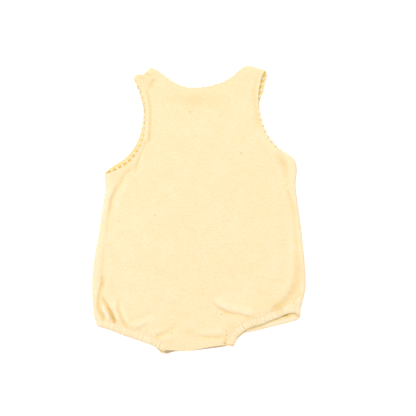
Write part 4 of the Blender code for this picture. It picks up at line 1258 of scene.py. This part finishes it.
back = panel("back_cloth", BACK, back_height, (fold_shade, plain), step=1.6, spacing=1.5)
dressed(back, cloth, "back_panel")
front = panel("front_cloth", FRONT, front_height, (plain, inside_shade), step=1.9, spacing=1.9)
dressed(front, inner_cloth, "front_panel")
bands = [dressed(leg_band(hand, LEGS[hand][0]), band_cloth, "leg_band_" + hand)
         for hand in LEGS]

tapes = {"back": [], "front": []}
for run_name, run in RUNS.items():
    edge_name, _, side = run_name.rpartition("_")
    kind, *hand = edge_name.split("_")
    stem = "_".join((kind, "picot", *hand, side))
    line = (BACK if side == "back" else FRONT)[edge_name]
    made = picot_tape("edging_" + stem, line, edge_name, run)
    tapes[side].append(dressed(made, picot_thread, stem))

# ------------------------------------------------------------------ stage, light and camera
FLOOR_SIDE = 3.0          # half the floor's side, in metres
FLOOR_BELOW = 0.0004      # it lies so far below the garment, in metres
floor_mesh = bpy.data.meshes.new("floor")
floor_mesh.from_pydata([(x * FLOOR_SIDE, y * FLOOR_SIDE, -FLOOR_BELOW)
                        for x, y in ((-1, -1), (1, -1), (1, 1), (-1, 1))], [], [(0, 1, 2, 3)])
paint = bpy.data.materials.new("floor_paint")
paint.use_nodes = True
fill(paint.node_tree.nodes["Principled BSDF"], {
    "Base Color": (0.90, 0.90, 0.90, 1.0), "Roughness": 1.0, "Specular IOR Level": 0.0,
    "Emission Color": (1.0, 1.0, 1.0, 1.0), "Emission Strength": 0.26})
floor_mesh.materials.append(paint)
floor = linked("floor", floor_mesh)

# Soft lights: name, place and size in metres, power in watts.
for name, place, size, power in (("key", (-1.1, 1.6, 2.0), 0.9, 30.6),
                                 ("overhead", (0.2, -0.1, 2.6), 2.4, 33.7)):
    lamp = bpy.data.lights.new(name, "AREA")
    lamp.shape, lamp.size, lamp.energy = "DISK", size, power
    light = linked(name, lamp)
    light.location = place
    light.rotation_euler = (-Vector(place)).to_track_quat("-Z", "Y").to_euler()
world = bpy.data.worlds.new("studio")
world.use_nodes = True
fill(world.node_tree.nodes["Background"], {"Color": (1.0, 1.0, 1.0, 1.0), "Strength": 0.51})
bpy.context.scene.world = world

CAMERA_X, CAMERA_Y, CAMERA_HEIGHT = 0.0114, 0.0024, 1.9      # metres, in the tables' frame
CAMERA_WIDTH = 0.52       # what the camera sees across, at the garment's middle height
MIDDLE_HEIGHT = 0.004
SENSOR = 36.0
lens = bpy.data.cameras.new("camera")
lens.sensor_width = SENSOR
lens.lens = SENSOR * (CAMERA_HEIGHT - MIDDLE_HEIGHT) / CAMERA_WIDTH
camera = linked("camera", lens)
camera.location = (CAMERA_X, CAMERA_Y - MIDDLE_Y * MM, CAMERA_HEIGHT)
bpy.context.scene.camera = camera
bpy.context.scene.view_settings.view_transform = "Standard"
